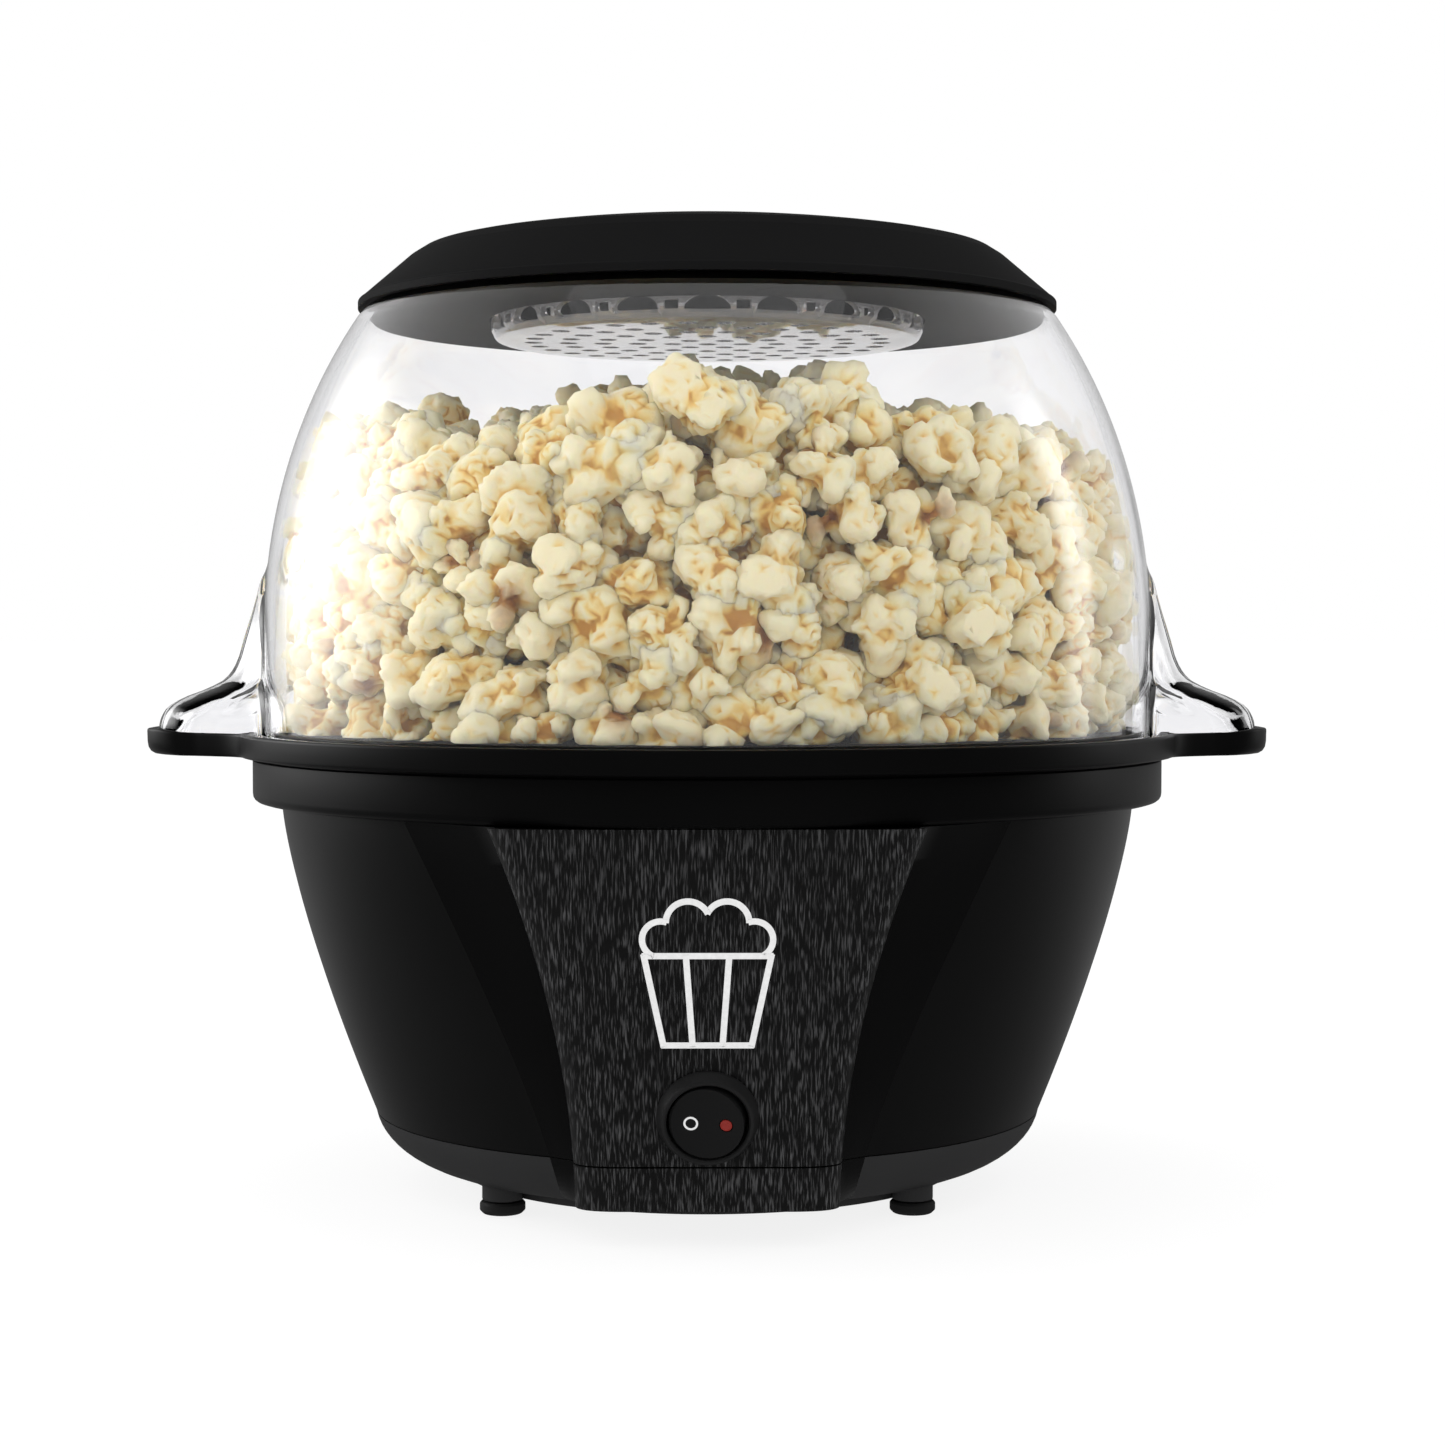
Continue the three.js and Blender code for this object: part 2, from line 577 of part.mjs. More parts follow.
const CASE_WALL = 2.2;
const COVER_BOTTOM = 83.5;
const lugs = (bottom, top) => [
  ...CASE_SCREWS.map((spot) => at(disc(5.2, bottom, top), spot)),
  at(block(8, 20, bottom, top), [0, CENTRE_DISTANCE + 18]),
];
const lugHoles = () => CASE_SCREWS.map((spot) => at(disc(SCREW_HOLE, 0, HEIGHT, 10), spot));

function gearCase() {
  const floorTop = CASE_BOTTOM + CASE_WALL;
  const top = COVER_BOTTOM - GAP;
  const tray = join(slab(caseOutline(0), CASE_BOTTOM, top), ...lugs(CASE_BOTTOM, top));
  const cavity = slab(caseOutline(CASE_WALL), floorTop, HEIGHT);
  const pinionHole = at(disc(PINION_SHAFT + 1, 0, HEIGHT, 12), [0, CENTRE_DISTANCE]);
  return cut(tray, cavity, disc(SHAFT_RADIUS + 0.4, 0, HEIGHT), pinionHole, ...lugHoles());
}

function gearCover() {
  const top = SHIELD_BOTTOM - GAP;
  const plate = join(slab(caseOutline(0), COVER_BOTTOM, top), ...lugs(COVER_BOTTOM, top));
  return cut(plate, disc(SHAFT_RADIUS + 0.4, 0, HEIGHT), ...lugHoles());
}

const HUB_BOTTOM = 107.4;
const HUB_TOP = 117.6;
const ROD_LEVEL = 110.8;
const ROD_SWEEP_LEVEL = 108.2;

// The shaft stops under the rod, so the hub carries the rod across its own bore.
const driveShaft = () => disc(SHAFT_RADIUS, 68.2, ROD_LEVEL - 2.8);
const shaftClip = () => ring(SHAFT_RADIUS + GAP, 6, 69.4, CASE_BOTTOM - GAP, SMALL_SEGMENTS);
const shaftBush = () => turned([
  [SHAFT_RADIUS + 0.4, 97], [5.5, 97], [5.5, PLATE_FLOOR + GAP], [9, PLATE_FLOOR + GAP],
  [9, HUB_BOTTOM - 0.4], [SHAFT_RADIUS + 0.4, HUB_BOTTOM - 0.4], [SHAFT_RADIUS + 0.4, 97],
], SMALL_SEGMENTS);

function stirHub() {
  const knob = turned([[0, HUB_BOTTOM], [9.4, HUB_BOTTOM], [9.4, HUB_BOTTOM + 5], [8, HUB_TOP - 1.6],
    [4, HUB_TOP], [0, HUB_TOP]], 24);
  const crossHole = closed(new THREE.CylinderGeometry(ROD_RADIUS + 0.4, ROD_RADIUS + 0.4, 30, 10)
    .rotateZ(Math.PI / 2).translate(0, 0, ROD_LEVEL));
  return cut(knob, disc(SHAFT_RADIUS + GAP, 0, ROD_LEVEL - 2.4), crossHole);
}

// One bent wire: level through the hub, down to the plate, sweeping back, and up at its ends.
function stirRod() {
  const arm = [[9, 0, ROD_LEVEL], [13, 0, ROD_LEVEL], [22, -1.5, ROD_SWEEP_LEVEL], [40, -6, ROD_SWEEP_LEVEL],
    [60, -8, ROD_SWEEP_LEVEL], [78, -4, ROD_SWEEP_LEVEL + 0.4], [88, 0, ROD_SWEEP_LEVEL + 5],
    [94, 3, ROD_SWEEP_LEVEL + 12]];
  const half = arm.map(([x, y, z]) => new THREE.Vector3(x, y, z));
  const other = arm.map(([x, y, z]) => new THREE.Vector3(-x, -y, z)).reverse();
  const path = new THREE.CatmullRomCurve3([...other, ...half], false, 'centripetal');
  return tube(path, ROD_RADIUS, 40, 6);
}

// ---- front panel and switch ----
const PANEL_LEVELS = [SEAM, ...BODY_LEVELS.slice(1)];
function frontPanel() {
  const skin = loft(PANEL_LEVELS.map(panelSection));
  return cut(skin, inSwitchFrame(disc(SWITCH_HOLE, -4, 4, 32)));
}

const frontPanelLower = () => loft([PANEL_BOTTOM, 13, 17, SEAM - GAP].map(panelSection));

// Local frame of the switch: its Z axis leaves the leaning panel at right angles.
const PANEL_ANGLE = Math.atan((panelDepth(SWITCH_HEIGHT + 10) - panelDepth(SWITCH_HEIGHT - 10)) / 20);
function inSwitchFrame(geometry) {
  return geometry.clone().rotateX(Math.PI / 2 + PANEL_ANGLE)
    .translate(0, -panelDepth(SWITCH_HEIGHT), SWITCH_HEIGHT);
}

// A raised cone round the rocker.
const switchBezel = () => turned([
  [SWITCH_BORE, GAP], [12.3, GAP], [12.3, 0.9], [11.2, 3.5], [10.6, 4], [SWITCH_BORE, 3.6],
  [SWITCH_BORE, GAP],
], 32);

function switchBody() {
  const neck = ring(SWITCH_BORE, SWITCH_NECK, -10, -0.2, 32);
  const back = join(disc(SWITCH_NECK, -10.6, -9.4, 32), block(18, 15, -22, -9.8));
  const tabs = [-5, 0, 5].map((x) => closed(new THREE.BoxGeometry(0.8, 6, 8).translate(x, 0, -25)));
  return join(neck, back, ...tabs);
}

const DISH_RADIUS = 60;           // hollow across the rocker's face, 0.7 deep
const DOT_X = 4.8;
const DOT_RADIUS = 1.45;
function switchRocker() {
  const button = turned([
    [0, -3], [ROCKER_RADIUS - 0.9, -3], [ROCKER_RADIUS, -2.1], [ROCKER_RADIUS, ROCKER_FACE - 0.6],
    [ROCKER_RADIUS - 0.6, ROCKER_FACE], [0, ROCKER_FACE],
  ], 32);
  const dish = closed(new THREE.CylinderGeometry(DISH_RADIUS, DISH_RADIUS, 30, 48)
    .translate(0, 0, ROCKER_FACE - 0.7 + DISH_RADIUS));
  const dotRoom = disc(DOT_RADIUS + GAP, ROCKER_FACE - 1.5, ROCKER_FACE + 2, 16).translate(DOT_X, 0, 0);
  return cut(button, dish, dotRoom);
}

const indicatorDot = () => disc(DOT_RADIUS, ROCKER_FACE - 1.2, ROCKER_FACE - 0.35, 16).translate(DOT_X, 0, 0);

// ---- cord outlet: the moulded gland in the rear wall; nothing is plugged in it ----
const GLAND_HEIGHT = 34;
const GLAND_BORE = 4.6;
const GLAND_SLOPE = Math.atan((bodyRadius(GLAND_HEIGHT + 4) - bodyRadius(GLAND_HEIGHT - 4)) / 8);
function inGlandFrame(geometry) {
  return geometry.clone().rotateX(-Math.PI / 2 - GLAND_SLOPE)
    .translate(0, bodyRadius(GLAND_HEIGHT), GLAND_HEIGHT);
}

const cordGland = () => turned([[GLAND_BORE, -4.6], [6.4, -4.6], [6.4, 0.8], [9.4, 0.8], [9, 2.2], [7.4, 3],
  [GLAND_BORE, 3], [GLAND_BORE, -4.6]], 20);

const BLOCK_BOTTOM = PAN_FLOOR + WALL + GAP;
const terminalBlock = () => cut(
  block(30, 13, BLOCK_BOTTOM, BLOCK_BOTTOM + 12),
  ...[-9, 0, 9].map((x) => at(disc(2.2, BLOCK_BOTTOM + 5, BLOCK_BOTTOM + 14, 8), [x, 0])),
);

// ---- clear dome, butter well and cap ----
const domeRadiusAt = (z, inset) => {
  const rise = Math.max(0, z - DOME_SHOULDER) / (DOME_CURVE - inset);
  return (DOME_RADIUS - inset) * Math.sqrt(1 - rise ** 2);
};
const DOME_LEVELS = [150, 170, 188, 204, 217, 227, 233];
const DOME_RIM = RIM + GAP;
const WELL_HOLE = WELL_RADIUS + 0.5;

function domeEar(side) {
  const tip = 149.4;
  const profile = (inset) => polygon([
    [110, DOME_RIM - (inset ? 2 : 0)], [tip - inset, DOME_RIM - (inset ? 2 : 0)],
    [tip - inset, 124.6 - inset / 3], [147.8 - inset, 128.6 - inset], [142.4 - inset, 132 - inset],
    [134 - inset, 135.4 - inset], [131.1 - inset, 137.6 - inset], [128.4 - inset, 142 - inset],
    [126 - inset, 149 - inset], [122.6 - inset, 156 - inset], [110, 160 - inset],
  ].map(([x, z]) => [side * x, z]));
  const extruded = (inset, half) => closed(new THREE.ExtrudeGeometry(profile(inset), {
    depth: 2 * half, bevelEnabled: false,
  }).rotateX(Math.PI / 2).translate(0, half, 0));
  const outer = common(extruded(0, 60), slab(earPlan(tip, side, 3), 100, 170));
  const pocket = common(
    extruded(DOME_WALL, 60),
    slab(earPlan(tip - DOME_WALL, side, 3 + DOME_WALL), 100, 170),
  );
  return cut(outer, pocket);
}

function dome() {
  const outer = DOME_LEVELS.map((z) => [domeRadiusAt(z, 0), z]);
  const inner = DOME_LEVELS.map((z) => [domeRadiusAt(z, DOME_WALL), z]);
  const annulusBottom = DOME_TOP - 2.2;
  const bore = SEAT_INNER + 2;
  const ribTop = DOME_TOP + 2.8;
  const shell = turned([
    [bore, DOME_RIM], [124.2, DOME_RIM], [124.2, DOME_RIM + 2], [DOME_RADIUS, DOME_RIM + 2.9], ...outer,
    [domeRadiusAt(DOME_TOP, 0) - 0.8, DOME_TOP], [89.4, DOME_TOP], [89.4, ribTop], [87.6, ribTop],
    [87.6, DOME_TOP], [WELL_HOLE, DOME_TOP], [WELL_HOLE, annulusBottom],
    [domeRadiusAt(annulusBottom, DOME_WALL), annulusBottom], ...inner.reverse(), [bore, DOME_RIM],
  ]);
  const inside = turned([
    [0, 0], [DOME_RADIUS - DOME_WALL, 0],
    ...DOME_LEVELS.map((z) => [domeRadiusAt(z, DOME_WALL), z]),
    [0, DOME_LEVELS.at(-1)],
  ]);
  return join(shell, cut(domeEar(-1), inside), cut(domeEar(1), inside));
}

const WELL_FLANGE_BOTTOM = DOME_TOP + GAP;
const WELL_RIM = WELL_FLANGE_BOTTOM + 1.8;
const WELL_RINGS = [[14, 6], [28, 12], [43, 18]];   // drain holes: ring radius and how many
const DRAIN_RADIUS = 2;
const WINDOW_COUNT = 12;          // low openings round the wall of the well
function butterWell() {
  const cup = turned([
    [0, 228.4], [30, 229.1], [50, 230.6], [WELL_RADIUS - 1.2, 231.6], [WELL_RADIUS, 233],
    [WELL_RADIUS, WELL_FLANGE_BOTTOM], [65, WELL_FLANGE_BOTTOM], [65, WELL_RIM],
    [WELL_RADIUS - 2, WELL_RIM], [WELL_RADIUS - 2, 233.6], [50, 232.4], [30, 230.9], [0, 230.2],
  ]);
  const drains = [disc(DRAIN_RADIUS, 220, 234, 6)];
  for (const [radius, count] of WELL_RINGS) {
    for (let i = 0; i < count; i += 1) {
      drains.push(at(disc(DRAIN_RADIUS, 220, 234, 6), polar(radius, (360 * i) / count)));
    }
  }
  const windows = [];
  for (let i = 0; i < WINDOW_COUNT / 2; i += 1) {
    windows.push(closed(new THREE.BoxGeometry(2 * WELL_RADIUS + 6, 5, 2.2).translate(0, 0, 235.1)
      .rotateZ((2 * Math.PI * i) / WINDOW_COUNT)));
  }
  const wallOnly = windows.map((window) => cut(window, disc(WELL_RADIUS - 4, 230, 240, 24)));
  return cut(cup, ...drains, ...wallOnly);
}

const CROWN_EDGE = 76;
const CROWN_BASE = 253;
const crownHeight = (radius) => CROWN_BASE + (HEIGHT - CROWN_BASE) * (1 - (radius / CROWN_EDGE) ** 2);
function cap() {
  const wall = 2.2;
  const crown = [62, 36].map((radius) => [radius, crownHeight(radius)]);
  return turned([
    [CAP_RADIUS - wall, CAP_BOTTOM], [CAP_RADIUS, CAP_BOTTOM], [CAP_RADIUS, CAP_BOTTOM + 1.7], [81.2, 250.2],
    [79, 251.7], [CROWN_EDGE, CROWN_BASE], ...crown, [0, HEIGHT], [0, HEIGHT - wall],
    ...[...crown].reverse().map(([radius, z]) => [radius, z - wall]),
    [CROWN_EDGE - 1, CROWN_BASE - wall - 0.2], [79.4, 248.6],
    [CAP_RADIUS - wall, CAP_BOTTOM + 1.4], [CAP_RADIUS - wall, CAP_BOTTOM],
  ]);
}

// ---- assembly ----
place('base_housing', baseHousing(), BLACK_PLASTIC);
place('base_collar', baseCollar(), BLACK_PLASTIC);
place('bottom_pan', bottomPan(), MATTE_PLASTIC);
place('front_panel', frontPanel(), BRUSHED_BLACK);
place('front_panel_lower', frontPanelLower(), BRUSHED_BLACK);
FEET.forEach(([x, y], i) => placeAt(`foot_pad_${i + 1}`, footPad(), RUBBER, x, y));
SCREW_ANGLES.forEach((degrees, i) => placeAt(
  `pan_screw_${i + 1}`,
  screw(SCREW_SEAT - GAP, PAN_SCREW_LENGTH),
  STEEL,
  ...polar(SCREW_CIRCLE, degrees),
));

place('popping_plate', poppingPlate(), NON_STICK);
place('heating_element', heatingElement(), STEEL);
placeAt('thermostat', thermostat(), ALUMINIUM, -30, 0);
place('thermal_fuse', thermalFuse(), ALUMINIUM);
place('heat_shield', heatShield(), ALUMINIUM);
STANDOFF_ANGLES.forEach((degrees, i) => placeAt(
  `plate_standoff_${i + 1}`,
  standoff(),
  STEEL,
  ...polar(STANDOFF_CIRCLE, degrees),
));
STANDOFF_ANGLES.forEach((degrees, i) => placeAt(
  `standoff_screw_${i + 1}`,
  screw(SHIELD_BOTTOM - GAP, 10),
  STEEL,
  ...polar(STANDOFF_CIRCLE, degrees),
));
SHIELD_SCREW_ANGLES.forEach((degrees, i) => {
  const mesh = placeAt(`shield_screw_${i + 1}`, screw(0, 12), STEEL, ...polar(SHIELD_SCREW_CIRCLE, degrees));
  mesh.rotation.x = Math.PI;
  mesh.position.z = SHIELD_TOP + GAP;
});
place('gear_case', gearCase(), NYLON);
place('gear_cover', gearCover(), NYLON);
CASE_SCREWS.forEach(([x, y], i) => placeAt(
  `gear_case_screw_${i + 1}`,
  screw(CASE_BOTTOM - GAP, 18),
  STEEL,
  x,
  y,
));
placeAt('motor', motorCan(), STEEL, 0, CENTRE_DISTANCE);
placeAt('motor_pinion', motorPinion(), BRASS, 0, CENTRE_DISTANCE, Math.PI / PINION_TEETH + Math.PI / 2);
placeAt('drive_gear', driveGear(), NYLON, 0, 0);
place('drive_shaft', driveShaft(), STEEL);
place('shaft_clip', shaftClip(), STEEL);
place('shaft_bush', shaftBush(), BRASS);
place('stir_hub', stirHub(), MATTE_PLASTIC);
place('stir_rod', stirRod(), STEEL);

const switchFrame = new THREE.Group();
switchFrame.position.set(0, -panelDepth(SWITCH_HEIGHT), SWITCH_HEIGHT);
switchFrame.rotation.x = Math.PI / 2 + PANEL_ANGLE;
popcornMaker.add(switchFrame);
place('switch_bezel', switchBezel(), MATTE_PLASTIC, switchFrame);
place('switch_body', switchBody(), MATTE_PLASTIC, switchFrame);
const rockerPivot = new THREE.Group();
rockerPivot.position.z = ROCKER_PIVOT;
rockerPivot.rotation.y = -ROCKER_TILT;
switchFrame.add(rockerPivot);
const rockerShape = new THREE.Group();
rockerShape.position.z = -ROCKER_PIVOT;
rockerPivot.add(rockerShape);
place('switch_rocker', switchRocker(), MATTE_PLASTIC, rockerShape);
place('indicator_dot', indicatorDot(), RED, rockerShape);

const glandFrame = new THREE.Group();
glandFrame.position.set(0, bodyRadius(GLAND_HEIGHT), GLAND_HEIGHT);
glandFrame.rotation.x = -Math.PI / 2 - GLAND_SLOPE;
popcornMaker.add(glandFrame);
place('cord_gland', cordGland(), RUBBER, glandFrame);
placeAt('terminal_block', terminalBlock(), NYLON, 0, 60);

place('dome', dome(), CLEAR);
place('butter_well', butterWell(), CLEAR_GREY);
place('cap', cap(), MATTE_PLASTIC);

export default popcornMaker;
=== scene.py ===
import json
import math
import random

import bmesh
import bpy
from mathutils import Matrix, Vector, noise


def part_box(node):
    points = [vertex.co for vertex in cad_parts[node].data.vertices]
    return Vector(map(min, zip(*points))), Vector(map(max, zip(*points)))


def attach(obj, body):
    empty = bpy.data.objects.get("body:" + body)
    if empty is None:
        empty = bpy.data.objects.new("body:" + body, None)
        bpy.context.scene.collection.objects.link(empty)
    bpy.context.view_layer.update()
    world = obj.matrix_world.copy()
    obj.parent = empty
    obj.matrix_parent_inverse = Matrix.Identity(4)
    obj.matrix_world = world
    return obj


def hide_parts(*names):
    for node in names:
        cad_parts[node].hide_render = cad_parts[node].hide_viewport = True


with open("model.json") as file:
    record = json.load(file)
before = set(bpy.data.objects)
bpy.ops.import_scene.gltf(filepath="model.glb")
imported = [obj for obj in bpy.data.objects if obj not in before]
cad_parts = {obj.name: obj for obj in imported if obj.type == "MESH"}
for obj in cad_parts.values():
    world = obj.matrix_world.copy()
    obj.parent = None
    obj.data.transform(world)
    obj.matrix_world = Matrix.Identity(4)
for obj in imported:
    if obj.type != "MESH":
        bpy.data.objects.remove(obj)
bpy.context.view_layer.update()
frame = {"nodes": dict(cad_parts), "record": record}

MM = 0.001

# ---------------------------------------------------------------- camera
# The camera stands in front, a little below half the object's height, and looks slightly down.
CAMERA_DISTANCE = 0.760
CAMERA_HEIGHT = 0.151
CAMERA_LENS = 69.0
CAMERA_PITCH = math.radians(1.95)
CAMERA_YAW = math.radians(-0.31)


def new_object(name, data):
    thing = bpy.data.objects.new(name, data)
    bpy.context.scene.collection.objects.link(thing)
    return thing


def add_camera():
    data = bpy.data.cameras.new("camera")
    data.lens = CAMERA_LENS
    data.sensor_width = 36.0
    data.clip_start = 0.01
    camera = new_object("camera", data)
    camera.location = (0.0, -CAMERA_DISTANCE, CAMERA_HEIGHT)
    camera.rotation_euler = (math.pi / 2 - CAMERA_PITCH, 0.0, CAMERA_YAW)
    bpy.context.scene.camera = camera


add_camera()

# ---------------------------------------------------------------- sizes read from the frame
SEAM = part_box("base_housing")[0].z
COLLAR_LOW, COLLAR_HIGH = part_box("base_collar")
DOME_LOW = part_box("dome")[0]
CAP_LOW, CAP_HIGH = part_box("cap")
WELL_LOW, WELL_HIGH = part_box("butter_well")
PAN_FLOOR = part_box("bottom_pan")[0].z

FLANGE_RADIUS = COLLAR_HIGH.y
EAR_TIP = COLLAR_HIGH.x
COLLAR_BOTTOM = COLLAR_LOW.z
GAP = 0.3 * MM                # between pieces that rest on each other
WALL = 2.4 * MM               # of the moulded shells
RIM = DOME_LOW.z - GAP
DOME_RADIUS = 120.0 * MM
DOME_SHOULDER = 150.0 * MM
DOME_CURVE = 137.5 * MM
DOME_TOP = WELL_HIGH.z - 2.1 * MM
SWITCH_HEIGHT = 34.0 * MM
SWITCH_HOLE = 10.7 * MM


def middle_of(node):
    """Where a node's box is centred, seen from above."""
    low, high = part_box(node)
    return (low.x + high.x) / 2, (low.y + high.y) / 2


FEET = [middle_of(f"foot_pad_{i}") for i in (1, 2, 3, 4)]
SCREWS = [middle_of(f"pan_screw_{i}") for i in (1, 2, 3, 4)]
SCREW_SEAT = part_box("pan_screw_1")[0].z + 2.5 * MM


# ---------------------------------------------------------------- mesh helpers
def mesh_object(name, vertices, faces, material, angle=35.0):
    mesh = bpy.data.meshes.new(name)
    mesh.from_pydata([tuple(v) for v in vertices], [], faces)
    mesh.validate()
    mesh.update()
    tidy_normals(mesh)
    mesh.shade_smooth()
    mesh.set_sharp_from_angle(angle=math.radians(angle))
    if material is not None:
        mesh.materials.append(material)
    return new_object(name, mesh)


def tidy_normals(mesh):
    work = bmesh.new()
    work.from_mesh(mesh)
    bmesh.ops.remove_doubles(work, verts=work.verts, dist=1e-7)
    bmesh.ops.recalc_face_normals(work, faces=work.faces)
    work.to_mesh(mesh)
    work.free()


def apply_modifiers(piece):
    depsgraph = bpy.context.evaluated_depsgraph_get()
    done = bpy.data.meshes.new_from_object(piece.evaluated_get(depsgraph))
    old = piece.data
    piece.modifiers.clear()
    piece.data = done
    done.name = old.name + "_done"
    bpy.data.meshes.remove(old)
    return piece


def cut(piece, *cutters, operation="DIFFERENCE", angle=35.0):
    """Cuts the cutters out of the piece, or joins them to it, and removes them."""
    for cutter in cutters:
        modifier = piece.modifiers.new("cut", "BOOLEAN")
        modifier.operation = operation
        modifier.solver = "EXACT"
        modifier.object = cutter
        bpy.context.view_layer.update()
        apply_modifiers(piece)
        bpy.data.objects.remove(cutter)
    piece.data.shade_smooth()
    piece.data.set_sharp_from_angle(angle=math.radians(angle))
    return piece


def arc_corner(before, corner, after, radius, steps):
    """Points of an arc that rounds one corner of an outline."""
    corner = Vector(corner)
    to_before = Vector(before) - corner
    to_after = Vector(after) - corner
    half = to_before.angle(to_after) / 2
    reach = min(radius / math.tan(half), 0.49 * to_before.length, 0.49 * to_after.length)
    start = corner + to_before.normalized() * reach
    end = corner + to_after.normalized() * reach
    points = []
    for i in range(steps + 1):
        t = i / steps
        points.append(tuple((1 - t) ** 2 * start + 2 * t * (1 - t) * corner + t ** 2 * end))
    return points


def rounded(outline, closed=True, steps=5):
    """An outline of (x, y, corner radius) points, all in millimetres, with its corners rounded."""
    points = []
    count = len(outline)
    for i, (x, y, radius) in enumerate(outline):
        ends = not closed and i in (0, count - 1)
        if radius == 0 or ends:
            points.append((x, y))
            continue
        before = outline[i - 1][:2]
        after = outline[(i + 1) % count][:2]
        points += arc_corner(before, (x, y), after, radius, steps)
    return [(x * MM, y * MM) for x, y in points]


def angles_round(steps=144):
    """Evenly spaced angles round a full turn."""
    return [2 * math.pi * i / steps for i in range(steps)]


def angles_with_ears(fine=0.6, coarse=2.5, reach=24.0):
    """Angles round a full turn, closer together at the two ears on the X axis."""
    degrees = []
    angle = 0.0
    while angle < 360.0 - 1e-6:
        degrees.append(angle)
        off = min(abs(angle), abs(angle - 180.0), abs(angle - 360.0))
        angle += fine if off < reach else coarse
    return [math.radians(d) for d in degrees]


def turned(profile, turn):
    """A profile of (r, z) points, turned about Z to one angle."""
    return [(r * math.cos(turn), r * math.sin(turn), z) for r, z in profile]


def grid_faces(rows, count, spans, joined):
    """Quads between neighbouring rows of count points. Where joined, the last row meets the first."""
    faces = []
    for i in range(rows if joined else rows - 1):
        near = i * count
        far = (i + 1) % rows * count
        for j in range(spans):
            k = (j + 1) % count
            faces.append((near + j, near + k, far + k, far + j))
    return faces


def sweep_round(name, sections, material, angle=35.0):
    """Joins closed (r, z) sections, one for each angle, into a ring."""
    vertices = [point for turn, section in sections for point in turned(section, turn)]
    count = len(sections[0][1])
    return mesh_object(name, vertices, grid_faces(len(sections), count, count, True), material, angle)


def revolve(name, profile, material, steps=144, angle=35.0, origin=(0, 0, 0)):
    """Turns a profile round Z. It closes on itself, or starts and ends on the axis."""
    on_axis = profile[0][0] < 1e-9 and profile[-1][0] < 1e-9
    ring = profile[1:-1] if on_axis else profile
    count = len(ring)
    vertices = [point for turn in angles_round(steps) for point in turned(ring, turn)]
    faces = grid_faces(steps, count, count - 1 if on_axis else count, True)
    if on_axis:
        low = len(vertices)
        vertices += [(0, 0, profile[0][1]), (0, 0, profile[-1][1])]
        for i in range(steps):
            near = i * count
            far = (i + 1) % steps * count
            faces.append((low, near, far))
            faces.append((low + 1, far + count - 1, near + count - 1))
    piece = mesh_object(name, vertices, faces, material, angle)
    piece.data.transform(Matrix.Translation(origin))
    return piece


def loft(name, rows, material, angle=35.0, caps=False):
    """Joins rows of points, each a closed loop, into a tube."""
    vertices = [point for row in rows for point in row]
    count = len(rows[0])
    faces = grid_faces(len(rows), count, count, False)
    if caps:
        faces.append(tuple(reversed(range(count))))
        faces.append(tuple(range(len(vertices) - count, len(vertices))))
    return mesh_object(name, vertices, faces, material, angle)


def cylinder(radius, low, high, at=(0, 0), steps=48):
    """A plain cutter, which is removed once it has cut."""
    profile = [(0, low), (radius, low), (radius, high), (0, high)]
    return revolve("cutter", profile, None, steps, origin=(at[0], at[1], 0))


